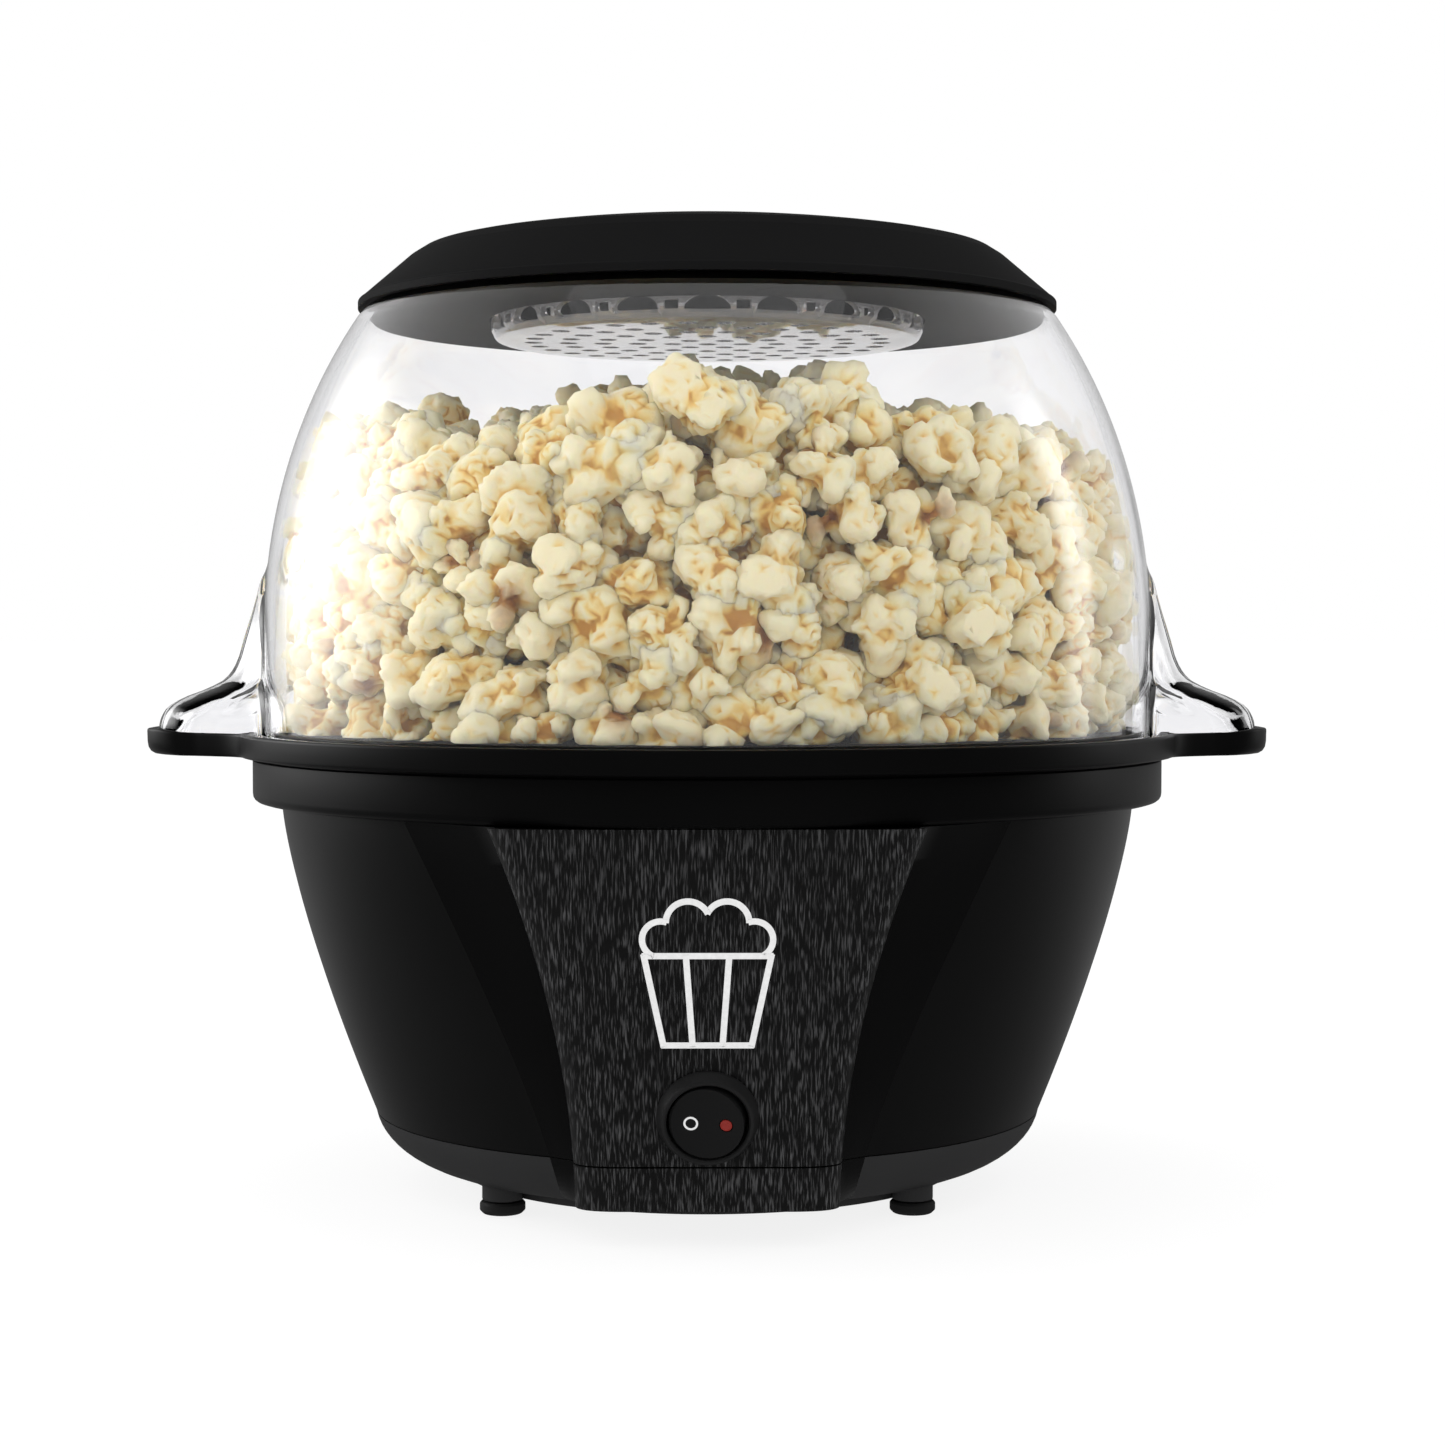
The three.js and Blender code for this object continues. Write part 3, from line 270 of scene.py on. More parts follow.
# ---------------------------------------------------------------- node-tree helpers
class Nodes:
    """A short way to write the node tree of a material, the world or a lamp."""

    def __init__(self, owner, output="ShaderNodeOutputMaterial"):
        owner.use_nodes = True
        self.owner = owner
        self.tree = owner.node_tree
        self.tree.nodes.clear()
        self.output = self.add(output)

    def add(self, kind, **settings):
        node = self.tree.nodes.new(kind)
        for key, value in settings.items():
            setattr(node, key, value)
        return node

    def link(self, source, target):
        self.tree.links.new(source, target)

    def feed(self, source, target):
        """Sets a socket to a number, or links it to another node's output."""
        if isinstance(source, float):
            target.default_value = source
        else:
            self.link(source, target)

    def show(self, shader):
        self.link(shader, self.output.inputs[0])

    def shader(self, **sockets):
        """A Principled shader with its sockets set, wired to the output."""
        node = self.add("ShaderNodeBsdfPrincipled")
        for key, value in sockets.items():
            node.inputs[key.replace("_", " ")].default_value = value
        self.show(node.outputs[0])
        return node

    def place(self, scale=(1, 1, 1)):
        """Object coordinates in metres, stretched by scale."""
        where = self.add("ShaderNodeTexCoord")
        mapping = self.add("ShaderNodeMapping")
        mapping.inputs["Scale"].default_value = scale
        self.link(where.outputs["Object"], mapping.inputs["Vector"])
        return mapping.outputs["Vector"]

    def noise(self, vector, scale, detail=2.0, roughness=0.5):
        node = self.add("ShaderNodeTexNoise")
        node.inputs["Scale"].default_value = scale
        node.inputs["Detail"].default_value = detail
        node.inputs["Roughness"].default_value = roughness
        self.link(vector, node.inputs["Vector"])
        return node.outputs["Fac"]

    def maths(self, operation, first, second, clamp=False):
        node = self.add("ShaderNodeMath", operation=operation, use_clamp=clamp)
        self.feed(first, node.inputs[0])
        self.feed(second, node.inputs[1])
        return node.outputs[0]

    def blend(self, share, first, second):
        """Mixes two shaders. At share 0 only the first shows."""
        node = self.add("ShaderNodeMixShader")
        for source, target in zip((share, first, second), node.inputs):
            self.feed(source, target)
        return node.outputs[0]

    def glow(self, kind, strength):
        """A white emission or background."""
        node = self.add(kind)
        node.inputs["Color"].default_value = (1.0, 1.0, 1.0, 1.0)
        self.feed(strength, node.inputs["Strength"])
        return node.outputs[0]

    def spread(self, value, low, high, to_low, to_high, kind="LINEAR"):
        """Maps the range low to high onto to_low to to_high."""
        node = self.add("ShaderNodeMapRange", interpolation_type=kind)
        for key, number in zip(("From Min", "From Max", "To Min", "To Max"), (low, high, to_low, to_high)):
            node.inputs[key].default_value = number
        self.link(value, node.inputs["Value"])
        return node.outputs["Result"]

    def ramp(self, value, *stops):
        """Colours at positions 0 to 1 along value."""
        node = self.add("ShaderNodeValToRGB")
        ramp = node.color_ramp
        while len(ramp.elements) < len(stops):
            ramp.elements.new(0.5)
        for element, (position, colour) in zip(ramp.elements, stops):
            element.position = position
            element.color = (*colour, 1.0)
        self.link(value, node.inputs["Fac"])
        return node.outputs["Color"]

    def mottle(self, shader, pattern, share, colour, rough_low, rough_high):
        """A colour that drops to a share of itself, and a roughness that changes with it."""
        darker = tuple(c * share for c in colour)
        self.link(self.ramp(pattern, (0.3, darker), (0.7, colour)), shader.inputs["Base Color"])
        self.link(self.spread(pattern, 0.3, 0.7, rough_low, rough_high), shader.inputs["Roughness"])

    def bump(self, height, strength, distance, shader):
        node = self.add("ShaderNodeBump")
        node.inputs["Strength"].default_value = strength
        node.inputs["Distance"].default_value = distance
        self.link(height, node.inputs["Height"])
        self.link(node.outputs[0], shader.inputs["Normal"])


def new_material(name):
    return Nodes(bpy.data.materials.new(name))


def grey(value):
    return (value, value, value * 1.03)


def moulded_plastic(name, dark, light, rough_low, rough_high, grain=0.02, grain_scale=2600.0, specular=0.5):
    """Moulded plastic: a fine spark-eroded grain and slow changes of gloss."""
    n = new_material(name)
    place = n.place()
    shader = n.shader(Specular_IOR_Level=specular)
    slow = n.noise(place, 14.0, 3.0)
    fine = n.noise(place, grain_scale, 2.0)
    n.link(n.ramp(slow, (0.3, dark), (0.7, light)), shader.inputs["Base Color"])
    n.link(n.spread(slow, 0.3, 0.7, rough_low, rough_high), shader.inputs["Roughness"])
    n.bump(fine, grain, 0.0002, shader)
    return n.owner


def brushed_black(name):
    """Black foil with short upright strokes, each a little lighter than the ground."""
    n = new_material(name)
    shader = n.shader(Specular_IOR_Level=0.5, Metallic=0.0)
    strokes = n.noise(n.place((1.0, 0.18, 0.075)), 2900.0, 1.0, 0.5)
    patches = n.noise(n.place((1.0, 1.0, 0.35)), 160.0, 2.0)
    strength = n.spread(patches, 0.35, 0.65, 0.7, 1.0)
    mixed = n.maths("MULTIPLY", n.spread(strokes, 0.50, 0.74, 0.0, 1.0), strength)
    n.link(n.ramp(mixed, (0.0, grey(0.004)), (1.0, grey(0.074))), shader.inputs["Base Color"])
    n.link(n.spread(strokes, 0.4, 0.7, 0.44, 0.34), shader.inputs["Roughness"])
    n.bump(mixed, 0.15, 0.0001, shader)
    return n.owner


def clear_plastic(name, tint, cloud, tint_depth=0.985, transmission=1.0):
    """Clear moulded plastic. Lamps reach what is behind it."""
    n = new_material(name)
    shader = n.shader(Transmission_Weight=transmission, IOR=1.49, Specular_IOR_Level=0.5)
    shader.inputs["Base Color"].default_value = (*tint, 1.0)
    haze = n.noise(n.place(), 60.0, 2.0)
    n.link(n.spread(haze, 0.35, 0.65, cloud * 0.5, cloud), shader.inputs["Roughness"])
    n.bump(n.noise(n.place((1.0, 1.0, 0.4)), 26.0, 1.0), 0.06, 0.002, shader)
    through = n.add("ShaderNodeBsdfTransparent")
    through.inputs["Color"].default_value = (tint_depth, tint_depth, tint_depth, 1.0)
    rays = n.add("ShaderNodeLightPath")
    n.show(n.blend(rays.outputs["Is Shadow Ray"], shader.outputs[0], through.outputs[0]))
    return n.owner


def metal(name, colour, rough_low, rough_high):
    """Bare metal with a fine grain."""
    n = new_material(name)
    shader = n.shader(Metallic=1.0)
    grain = n.noise(n.place(), 900.0, 3.0)
    n.mottle(shader, grain, 0.75, colour, rough_low, rough_high)
    n.bump(grain, 0.05, 0.0001, shader)
    return n.owner


def non_stick(name):
    """A dark coating with pale specks."""
    n = new_material(name)
    shader = n.shader(Specular_IOR_Level=0.5)
    specks = n.noise(n.place(), 1400.0, 1.0)
    n.link(n.ramp(specks, (0.66, grey(0.02)), (0.74, grey(0.22))), shader.inputs["Base Color"])
    n.link(n.spread(specks, 0.3, 0.7, 0.35, 0.5), shader.inputs["Roughness"])
    n.bump(specks, 0.08, 0.0001, shader)
    return n.owner


def popcorn_material():
    """Cream flesh with a brown hull where the kernel opened. Low crease values paint it yellower and darker
    in the creases and deeper flakes: partly the flesh's own yellow, partly painted shade.
    """
    n = new_material("popcorn")
    shader = n.shader(Roughness=0.7, Specular_IOR_Level=0.25, Subsurface_Weight=0.5, Subsurface_Scale=0.004)
    shader.inputs["Subsurface Radius"].default_value = (1.0, 0.7, 0.35)
    fold_shade = n.add("ShaderNodeAttribute", attribute_name="fold_shade")
    hull = n.add("ShaderNodeAttribute", attribute_name="hull")
    place = n.place()
    mottle = n.noise(place, 420.0, 3.0)
    # the ramp paints low values darker and browner: painted shade in creases and between flakes, partly the
    # flesh's own yellow
    flesh = n.ramp(
        n.maths("ADD", fold_shade.outputs["Fac"], n.spread(mottle, 0.3, 0.7, -0.06, 0.06)),
        (0.0, (0.64, 0.33, 0.08)),
        (0.22, (0.87, 0.60, 0.20)),
        (0.50, (0.93, 0.76, 0.39)),
        (0.84, (0.95, 0.85, 0.58)),
    )
    husk = n.ramp(mottle, (0.35, (0.20, 0.07, 0.02)), (0.7, (0.50, 0.24, 0.07)))
    mix = n.add("ShaderNodeMix", data_type="RGBA")
    n.link(hull.outputs["Fac"], mix.inputs["Factor"])
    n.link(flesh, mix.inputs["A"])
    n.link(husk, mix.inputs["B"])
    n.link(mix.outputs["Result"], shader.inputs["Base Color"])
    n.bump(n.noise(place, 1500.0, 2.0), 0.25, 0.0004, shader)
    return n.owner


def printed(name, colour):
    """Flat ink, or a small lens, with a slight mottle."""
    n = new_material(name)
    shader = n.shader(Specular_IOR_Level=0.4)
    n.mottle(shader, n.noise(n.place(), 900.0, 2.0), 0.9, colour, 0.4, 0.55)
    return n.owner


SATIN = moulded_plastic("satin_black", grey(0.0024), grey(0.0036), 0.34, 0.40, 0.03, specular=0.24)
COLLAR_SATIN = moulded_plastic("collar_black", grey(0.0018), grey(0.0026), 0.36, 0.42, 0.03, specular=0.14)
GLOSSY = moulded_plastic("gloss_black", grey(0.0012), grey(0.0020), 0.14, 0.20, 0.0, specular=0.35)
ROCKER_SATIN = moulded_plastic("rocker_black", grey(0.007), grey(0.009), 0.30, 0.38, specular=0.4)
MATTE = moulded_plastic("matte_black", grey(0.010), grey(0.014), 0.5, 0.58, 0.06)
PAN_MATTE = moulded_plastic("pan_black", grey(0.020), grey(0.025), 0.5, 0.58, 0.06, specular=0.3)
CAP_MATTE = moulded_plastic("cap_black", grey(0.0065), grey(0.0085), 0.62, 0.70, 0.05, specular=0.05)
# the dome's flat top ring round the well, coloured black
BAND_BLACK = moulded_plastic("dark_band", grey(0.0015), grey(0.0030), 0.6, 0.7, 0.02, specular=0.05)
RUBBER = moulded_plastic("rubber_black", grey(0.006), grey(0.010), 0.7, 0.85, 0.12, 1800.0)
NYLON = moulded_plastic("natural_nylon", (0.62, 0.60, 0.52), (0.74, 0.71, 0.62), 0.4, 0.5, 0.03)
BRUSHED = brushed_black("brushed_black")
CLEAR = clear_plastic("clear_plastic", (0.988, 0.988, 1.0), 0.01)
WELL_CLEAR = clear_plastic("clear_grey_plastic", (0.92, 0.92, 0.94), 0.05, 0.9, 0.78)
STEEL = metal("drawn_steel", (0.62, 0.62, 0.63), 0.22, 0.32)
ALUMINIUM = metal("mill_aluminium", (0.72, 0.72, 0.74), 0.32, 0.45)
BRASS = metal("turned_brass", (0.66, 0.48, 0.20), 0.25, 0.35)
NON_STICK = non_stick("non_stick")
POPCORN = popcorn_material()
WHITE_PRINT = printed("white_print", (0.85, 0.85, 0.85))
RED_LENS = printed("red_lens", (0.27, 0.016, 0.010))


# ---------------------------------------------------------------- base
HOUSING_TOP_RADIUS = 115.5 * MM
SEAM_RADIUS = 90.6 * MM
BODY_BELLY = 1.35
PANEL_BELLY = 1.2
PANEL_BOTTOM = PAN_FLOOR + 5.9 * MM
PANEL_THICKNESS = 1.2 * MM
PANEL_SEAT = 1.5 * MM
PANEL_FORWARD_LOW = 96.0 * MM
PANEL_FORWARD_HIGH = 118.0 * MM
BODY_HEIGHT = COLLAR_BOTTOM - SEAM


def body_radius(z):
    rise = (z - SEAM) / BODY_HEIGHT
    if rise >= 0:
        return SEAM_RADIUS + (HOUSING_TOP_RADIUS - SEAM_RADIUS) * (1 - (1 - rise) ** BODY_BELLY)
    drop = min(1.0, (SEAM - z) / (15 * MM))
    return SEAM_RADIUS - 20.6 * MM * (1 - math.sqrt(1 - drop ** 2)) - 2.6 * MM * drop


def panel_forward(z):
    rise = (z - SEAM) / BODY_HEIGHT
    return PANEL_FORWARD_LOW + (PANEL_FORWARD_HIGH - PANEL_FORWARD_LOW) * (1 - (1 - rise) ** PANEL_BELLY)


def panel_rise(z):
    return max(0.0, (z - PANEL_BOTTOM) / (COLLAR_BOTTOM - PANEL_BOTTOM))


def panel_half(z):
    return (32.4 + 19.5 * panel_rise(z) ** 2) * MM


def flank_half(z):
    return (36.5 + 37.4 * panel_rise(z) ** 1.3) * MM


def panel_plan(z, inset, corner_steps=6):
    """Half of the panel's plan at one height, from its middle to its edge."""
    half = panel_half(z) - inset
    front = -panel_forward(z) + inset
    edge = front + 6.6 * MM
    start = Vector((half - 11 * MM, front))
    control = Vector((half - 0.6 * MM, front + 0.4 * MM))
    end = Vector((half, edge))
    points = [Vector((start.x * i / 6, front)) for i in range(6)]
    for i in range(corner_steps + 1):
        t = i / corner_steps
        points.append((1 - t) ** 2 * start + 2 * t * (1 - t) * control + t ** 2 * end)
    return points


def body_plan(z, inset=0.0):
    """The housing's whole plan at one height, anticlockwise from the middle of its front."""
    radius = body_radius(z) - inset
    flank = flank_half(z)
    half = panel_plan(z, PANEL_SEAT + inset)
    edge = half[-1]
    root = Vector((flank, -math.sqrt(radius ** 2 - flank ** 2)))
    half += [edge.lerp(root, t) for t in (0.25, 0.5, 0.75, 1.0)]
    start = math.atan2(root.y, root.x)
    arc_steps = 56
    for i in range(1, arc_steps + 1):
        angle = start + (math.pi / 2 - start) * i / arc_steps
        half.append(Vector((radius * math.cos(angle), radius * math.sin(angle))))
    left = [Vector((-p.x, p.y)) for p in reversed(half[1:-1])]
    return half + left


def levels(low, high, count):
    return [low + (high - low) * i / count for i in range(count + 1)]


def body_shell(name, heights, material):
    """A moulded shell of the body between two heights: outer wall, inner wall and the two edges."""
    rows = [[(p.x, p.y, z) for p in body_plan(z)] for z in heights]
    rows += [[(p.x, p.y, z) for p in body_plan(z, WALL)] for z in reversed(heights)]
    rows.append(rows[0])
    return loft(name, rows, material, 30.0)


def flank_faces(piece, material, skin=1.5 * MM):
    """Gives the glossy finish to the two flanks beside the panel."""
    piece.data.materials.append(material)
    slot = len(piece.data.materials) - 1
    for face in piece.data.polygons:
        x, y, z = face.center
        if y > 0 or face.normal.y > -0.05:
            continue
        radius = math.hypot(x, y)
        if abs(x) < flank_half(max(z, PANEL_BOTTOM)) and radius > body_radius(z) - skin:
            face.material_index = slot


def switch_matrix():
    """The switch's own frame: its Z axis leaves the leaning panel at right angles."""
    step = 10 * MM
    slope = (panel_forward(SWITCH_HEIGHT + step) - panel_forward(SWITCH_HEIGHT - step)) / (2 * step)
    turn = Matrix.Rotation(math.pi / 2 + math.atan(slope), 4, "X")
    return Matrix.Translation((0, -panel_forward(SWITCH_HEIGHT), SWITCH_HEIGHT)) @ turn


def in_switch_frame(piece, extra=None):
    piece.data.transform(switch_matrix() @ (extra or Matrix.Identity(4)))
    return piece


def build_base_housing():
    piece = body_shell("housing_shell", levels(SEAM, COLLAR_BOTTOM - GAP, 44), SATIN)
    flank_faces(piece, GLOSSY)
    spigot = revolve("housing_spigot", rounded([
        (111.8, 101.0, 0), (114.2, 101.0, 0), (114.2, 112.7, 0.4), (112.0, 112.7, 0.4)]), SATIN)
    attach(spigot, "base")
    cut(piece, in_switch_frame(cylinder(SWITCH_HOLE, -12 * MM, 6 * MM)))
    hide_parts("base_housing")
    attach(piece, "base")


def panel_skin(name, heights):
    """The brushed skin: a thin sheet that wraps the bump's face."""
    rows = []
    for z in heights:
        outer = panel_plan(z, 0.0, 8)
        inner = panel_plan(z, PANEL_THICKNESS, 8)
        outline = [Vector((-p.x, p.y)) for p in reversed(outer[1:])] + outer
        outline += inner[::-1] + [Vector((-p.x, p.y)) for p in inner[1:]]
        rows.append([(p.x, p.y, z) for p in outline])
    return loft(name, rows, BRUSHED, 40.0, caps=True)


def build_front_panels():
    upper = panel_skin("front_panel_skin", levels(SEAM + GAP / 2, COLLAR_BOTTOM - GAP, 40))
    cut(upper, in_switch_frame(cylinder(SWITCH_HOLE, -4 * MM, 6 * MM)))
    lower = panel_skin("front_panel_lower_skin", levels(PANEL_BOTTOM, SEAM - GAP, 8))
    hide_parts("front_panel")
    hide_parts("front_panel_lower")
    for piece in (upper, lower):
        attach(piece, "base")


EAR_HALF_TIP = 20 * MM        # half the ear's width at its tip
EAR_HALF_ROOT = 38 * MM       # and where it leaves the round
EAR_ROOT = 105 * MM           # how far out its root is
EAR_CORNER = 14 * MM


def ear_limit(across, tip, half_tip, half_root, root, corner):
    """How far out the ear's plan reaches at a distance across from its middle."""
    across = abs(across)
    flat = half_tip - corner
    if across <= flat:
        return tip
    if across <= half_tip:
        t = (across - flat) / corner
        return tip - corner * (1 - math.sqrt(1 - t ** 1.8)) ** 0.9
    return tip - corner - (across - half_tip) * (tip - corner - root) / (half_root - half_tip)


def ear_reach(turn, limit):
    """The radius at which a ray from the axis leaves the ear's plan."""
    off = math.atan2(abs(math.sin(turn)), abs(math.cos(turn)))
    if off > math.radians(30):
        return 0.0
    low, high = 100 * MM, 160 * MM
    for _ in range(30):
        middle = (low + high) / 2
        if middle * math.cos(off) <= limit(middle * math.sin(off)):
            low = middle
        else:
            high = middle
    return low


def soft_max(a, b, blend):
    """The larger of two lengths, rounded off where they meet."""
    gap = max(0.0, blend - abs(a - b)) / blend
    return max(a, b) + gap ** 2 * blend / 4


def base_ear(across):
    return ear_limit(across, EAR_TIP, EAR_HALF_TIP, EAR_HALF_ROOT, EAR_ROOT, EAR_CORNER)


RIM_LIP = 2.1          # the low lip round the flange, in millimetres
EAR_LIP = 3.0          # and its height at the tip of an ear


def build_collar():
    rim, low = RIM / MM, COLLAR_BOTTOM / MM
    sections = []
    for turn in angles_with_ears():
        reach = soft_max(FLANGE_RADIUS, ear_reach(turn, base_ear), 6 * MM) / MM
        reach = min(reach, EAR_TIP / MM)
        outward = max(0.0, min(1.0, (reach - 141.0) / 8.0))
        top = rim + RIM_LIP + (EAR_LIP - RIM_LIP) * outward ** 1.5
        outline = [
            (116.1, low, 0.5), (119.2, low, 0), (123.2, low + 0.6, 5.5), (123.2, 115.9, 0.3),
            (122.4, 116.3, 0), (122.4, 116.9, 0), (reach - 0.2, 116.9, 0.9 + 3.1 * outward),
            (reach, top, 0.8), (reach - 2.0, top, 0.5), (reach - 2.2, rim, 0.3), (117.2, rim, 0),
            (117.2, rim + 2.4, 0.4), (115.6, rim + 2.4, 0.4), (115.6, 115.5, 0), (110.5, 115.5, 0.3),
            (110.5, 113.1, 0.3), (116.1, 113.1, 0),
        ]
        sections.append((turn, rounded(outline, steps=4)))
    piece = sweep_round("collar", sections, COLLAR_SATIN, 32.0)
    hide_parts("base_collar")
    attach(piece, "base")


def pan_blank(floor, top, heights):
    """The pan before it is hollowed out: the round bowl joined to the panel's bump."""
    bowl = [(0, floor)] + [(body_radius(z), z) for z in heights] + [(0, top)]
    piece = revolve("bottom_pan_shell", bowl, PAN_MATTE)
    piece.data.materials.append(GLOSSY)
    rows = [bump_outline(z, PANEL_SEAT, 0) for z in levels(PANEL_BOTTOM, top, 8)]
    bump = loft("pan_bump", rows, PAN_MATTE, caps=True)
    bump.data.materials.append(GLOSSY)
    for face in bump.data.polygons:
        face.material_index = 1 if abs(face.normal.z) < 0.7 else 0
    return cut(piece, bump, operation="UNION")


def hollow_pan(piece, floor, top, heights):
    """Leaves a wall all round. The inside is open at the top, and follows the bump as well."""
    above = top + 1 * MM
    inside = [(0, floor + WALL)]
    inside += [(body_radius(z) - WALL, z + WALL * (1 - (z - floor) / (top - floor))) for z in heights]
    inside += [(body_radius(top) - WALL, above), (0, above)]
    rows = [bump_outline(z, PANEL_SEAT + WALL, WALL) for z in levels(PANEL_BOTTOM + WALL, above, 6)]
    cut(piece, revolve("cutter", inside, None), loft("cutter", rows, None, caps=True))


def add_bosses(piece, floor, top, heights):
    """A stub over each foot, and a post with a recess and a hole for each screw."""
    stub = rounded([(0, 3.5, 0), (5.3, 3.5, 0.5), (5.3, 11, 0), (0, 11, 0)], False)
    for x, y in FEET:
        cut(piece, revolve("boss", stub, None, 40, origin=(x, y, 0)), operation="UNION")
    sunk = 0.5 * MM
    within = [(0, floor + sunk)] + [(body_radius(z) - sunk, z + sunk) for z in heights] + [(0, top + sunk)]
    for x, y in SCREWS:
        boss = cylinder(5.4 * MM, floor + 1 * MM, top - 0.4 * MM, at=(x, y))
        cut(boss, revolve("cutter", within, None), operation="INTERSECT")
        cut(piece, boss, operation="UNION")
        recess = cylinder(4.2 * MM, 0, SCREW_SEAT, at=(x, y))
        cut(piece, recess, cylinder(2.1 * MM, 0, SEAM + 5 * MM, at=(x, y)))


def build_bottom_pan():
    floor, top = PAN_FLOOR, SEAM - GAP
    heights = [floor + (top - floor) * (i / 16) ** 1.5 for i in range(17)]
    piece = pan_blank(floor, top, heights)
    hollow_pan(piece, floor, top, heights)
    add_bosses(piece, floor, top, heights)
    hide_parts("bottom_pan")
    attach(piece, "base")


def build_feet():
    pad = [(0, 0, 0), (5.0, 0, 0.5), (5.9, 0.9, 0.6), (5.9, 2.6, 0.5), (5.4, 3.2, 0.3), (0, 3.2, 0)]
    for i, (x, y) in enumerate(FEET):
        foot = revolve(f"foot_tip_{i + 1}", rounded(pad, False), RUBBER, 48, origin=(x, y, 0))
        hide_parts(f"foot_pad_{i + 1}")
        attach(foot, "base")


def bump_outline(z, inset, body_inset):
    """The front bump's closed plan, from its face back to well inside the round body."""
    half = panel_plan(z, inset)
    flank = flank_half(z) - body_inset
    root = Vector((flank, -math.sqrt((body_radius(z) - body_inset) ** 2 - flank ** 2)))
    half += [half[-1].lerp(root, t) for t in (0.5, 1.0)]
    half.append(Vector((flank - 8 * MM, -40 * MM)))
    left = [Vector((-p.x, p.y)) for p in reversed(half[1:])]
    return [(p.x, p.y, z) for p in half + left]


# ---------------------------------------------------------------- switch and cord outlet
ROCKER_TILT = math.radians(8)
ROCKER_PIVOT = 1.5 * MM
DISH_RADIUS = 60 * MM         # of the hollow across the rocker's face
DOT_PLACE = 4.8 * MM          # how far the dot is from the rocker's middle
RING_PLACE = -3.7 * MM


def rocker_matrix():
    """Where the rocker rests: tilted about its pivot, in front of the panel."""
    out = Matrix.Translation((0, 0, ROCKER_PIVOT))
    return out @ Matrix.Rotation(-ROCKER_TILT, 4, "Y") @ Matrix.Translation((0, 0, -ROCKER_PIVOT))


def build_switch():
    bezel = revolve("switch_bezel_cone", rounded([
        (9.9, 0.3, 0), (12.3, 0.3, 0.1), (12.3, 0.9, 0.5), (11.1, 3.6, 0.9), (10.4, 4.05, 0.3),
        (9.9, 3.5, 0.3)]), MATTE, 96)
    in_switch_frame(bezel)
    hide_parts("switch_bezel")
    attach(bezel, "base")

    face = 4.5
    profile = rounded([(0, -3, 0), (8.2, -3, 0.4), (9.1, -2.1, 0.4), (9.1, face - 0.5, 0.5), (8.3, face, 0.4),
                       (0, face, 0)], False)
    rocker = revolve("rocker_button", profile, ROCKER_SATIN, 96)
    dish = cylinder(DISH_RADIUS, -15 * MM, 15 * MM, steps=360)
    above = Matrix.Translation((0, 0, (face - 0.7) * MM + DISH_RADIUS))
    dish.data.transform(above @ Matrix.Rotation(math.pi / 2, 4, "X"))
    cut(rocker, dish, cylinder(1.7 * MM, 3.2 * MM, 8 * MM, at=(DOT_PLACE, 0)), angle=28)
    in_switch_frame(rocker, rocker_matrix())
    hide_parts("switch_rocker")
    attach(rocker, "rocker")

    bead = [(0, 3.3, 0), (1.45, 3.3, 0), (1.45, 4.0, 0.2), (0.9, 4.3, 0.5), (0, 4.4, 0)]
    lens = revolve("indicator_lens", rounded(bead, False), RED_LENS, 40, origin=(DOT_PLACE, 0, 0))
    in_switch_frame(lens, rocker_matrix())
    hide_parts("indicator_dot")
    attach(lens, "rocker")

    band = rounded([(1.28, 3.80, 0), (1.76, 3.80, 0), (1.76, 4.0, 0), (1.28, 4.0, 0)])
    ring = revolve("off_ring", band, WHITE_PRINT, 48, origin=(RING_PLACE, 0, 0))
    for vertex in ring.data.vertices:
        vertex.co.z += vertex.co.x ** 2 / (2 * DISH_RADIUS) - 0.06 * MM
    in_switch_frame(ring, rocker_matrix())
    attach(ring, "rocker")


def build_gland():
    height = 34 * MM
    step = 4 * MM
    slope = math.atan((body_radius(height + step) - body_radius(height - step)) / (2 * step))
    gland = revolve("cord_outlet_bush", rounded([
        (4.6, -4.6, 0.4), (6.4, -4.6, 0.4), (6.4, 0.8, 0), (9.4, 0.8, 0.2), (9.2, 2.1, 0.8), (7.4, 3.0, 0.6),
        (4.6, 3.0, 0.9)]), RUBBER, 72)
    gland.data.transform(Matrix.Translation((0, body_radius(height), height))
                         @ Matrix.Rotation(-math.pi / 2 - slope, 4, "X"))
    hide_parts("cord_gland")
    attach(gland, "base")


# ---------------------------------------------------------------- panel mark: a plain tub of popcorn
MARK_HEIGHT = 71 * MM
MARK_STROKE = 1.5 * MM
MARK_PROUD = 0.12 * MM


def stroke(points):
    """The two sides of a ribbon along a line on the panel, as (x, z) pairs in metres."""
    line = [Vector(p) * MM for p in points]
    left, right = [], []
    for i, here in enumerate(line):
        before = line[max(i - 1, 0)]
        after = line[min(i + 1, len(line) - 1)]
        along = (after - before).normalized()
        side = Vector((-along.y, along.x)) * MARK_STROKE / 2
        left.append(here + side)
        right.append(here - side)
    return left, right


def curve_points(centre, radius, start, end, steps=18):
    """An arc on the panel, in millimetres and degrees."""
    points = []
    for i in range(steps + 1):
        angle = math.radians(start + (end - start) * i / steps)
        points.append((centre[0] + radius * math.cos(angle), centre[1] + radius * math.sin(angle)))
    return points


def straight(a, b, steps=10, overrun=0.5):
    """A straight stroke that runs a little past its ends, so that strokes meet in full corners."""
    along = Vector((b[0] - a[0], b[1] - a[1])).normalized() * overrun
    a, b = (a[0] - along.x, a[1] - along.y), (b[0] + along.x, b[1] + along.y)
    return [(a[0] + (b[0] - a[0]) * i / steps, a[1] + (b[1] - a[1]) * i / steps) for i in range(steps + 1)]


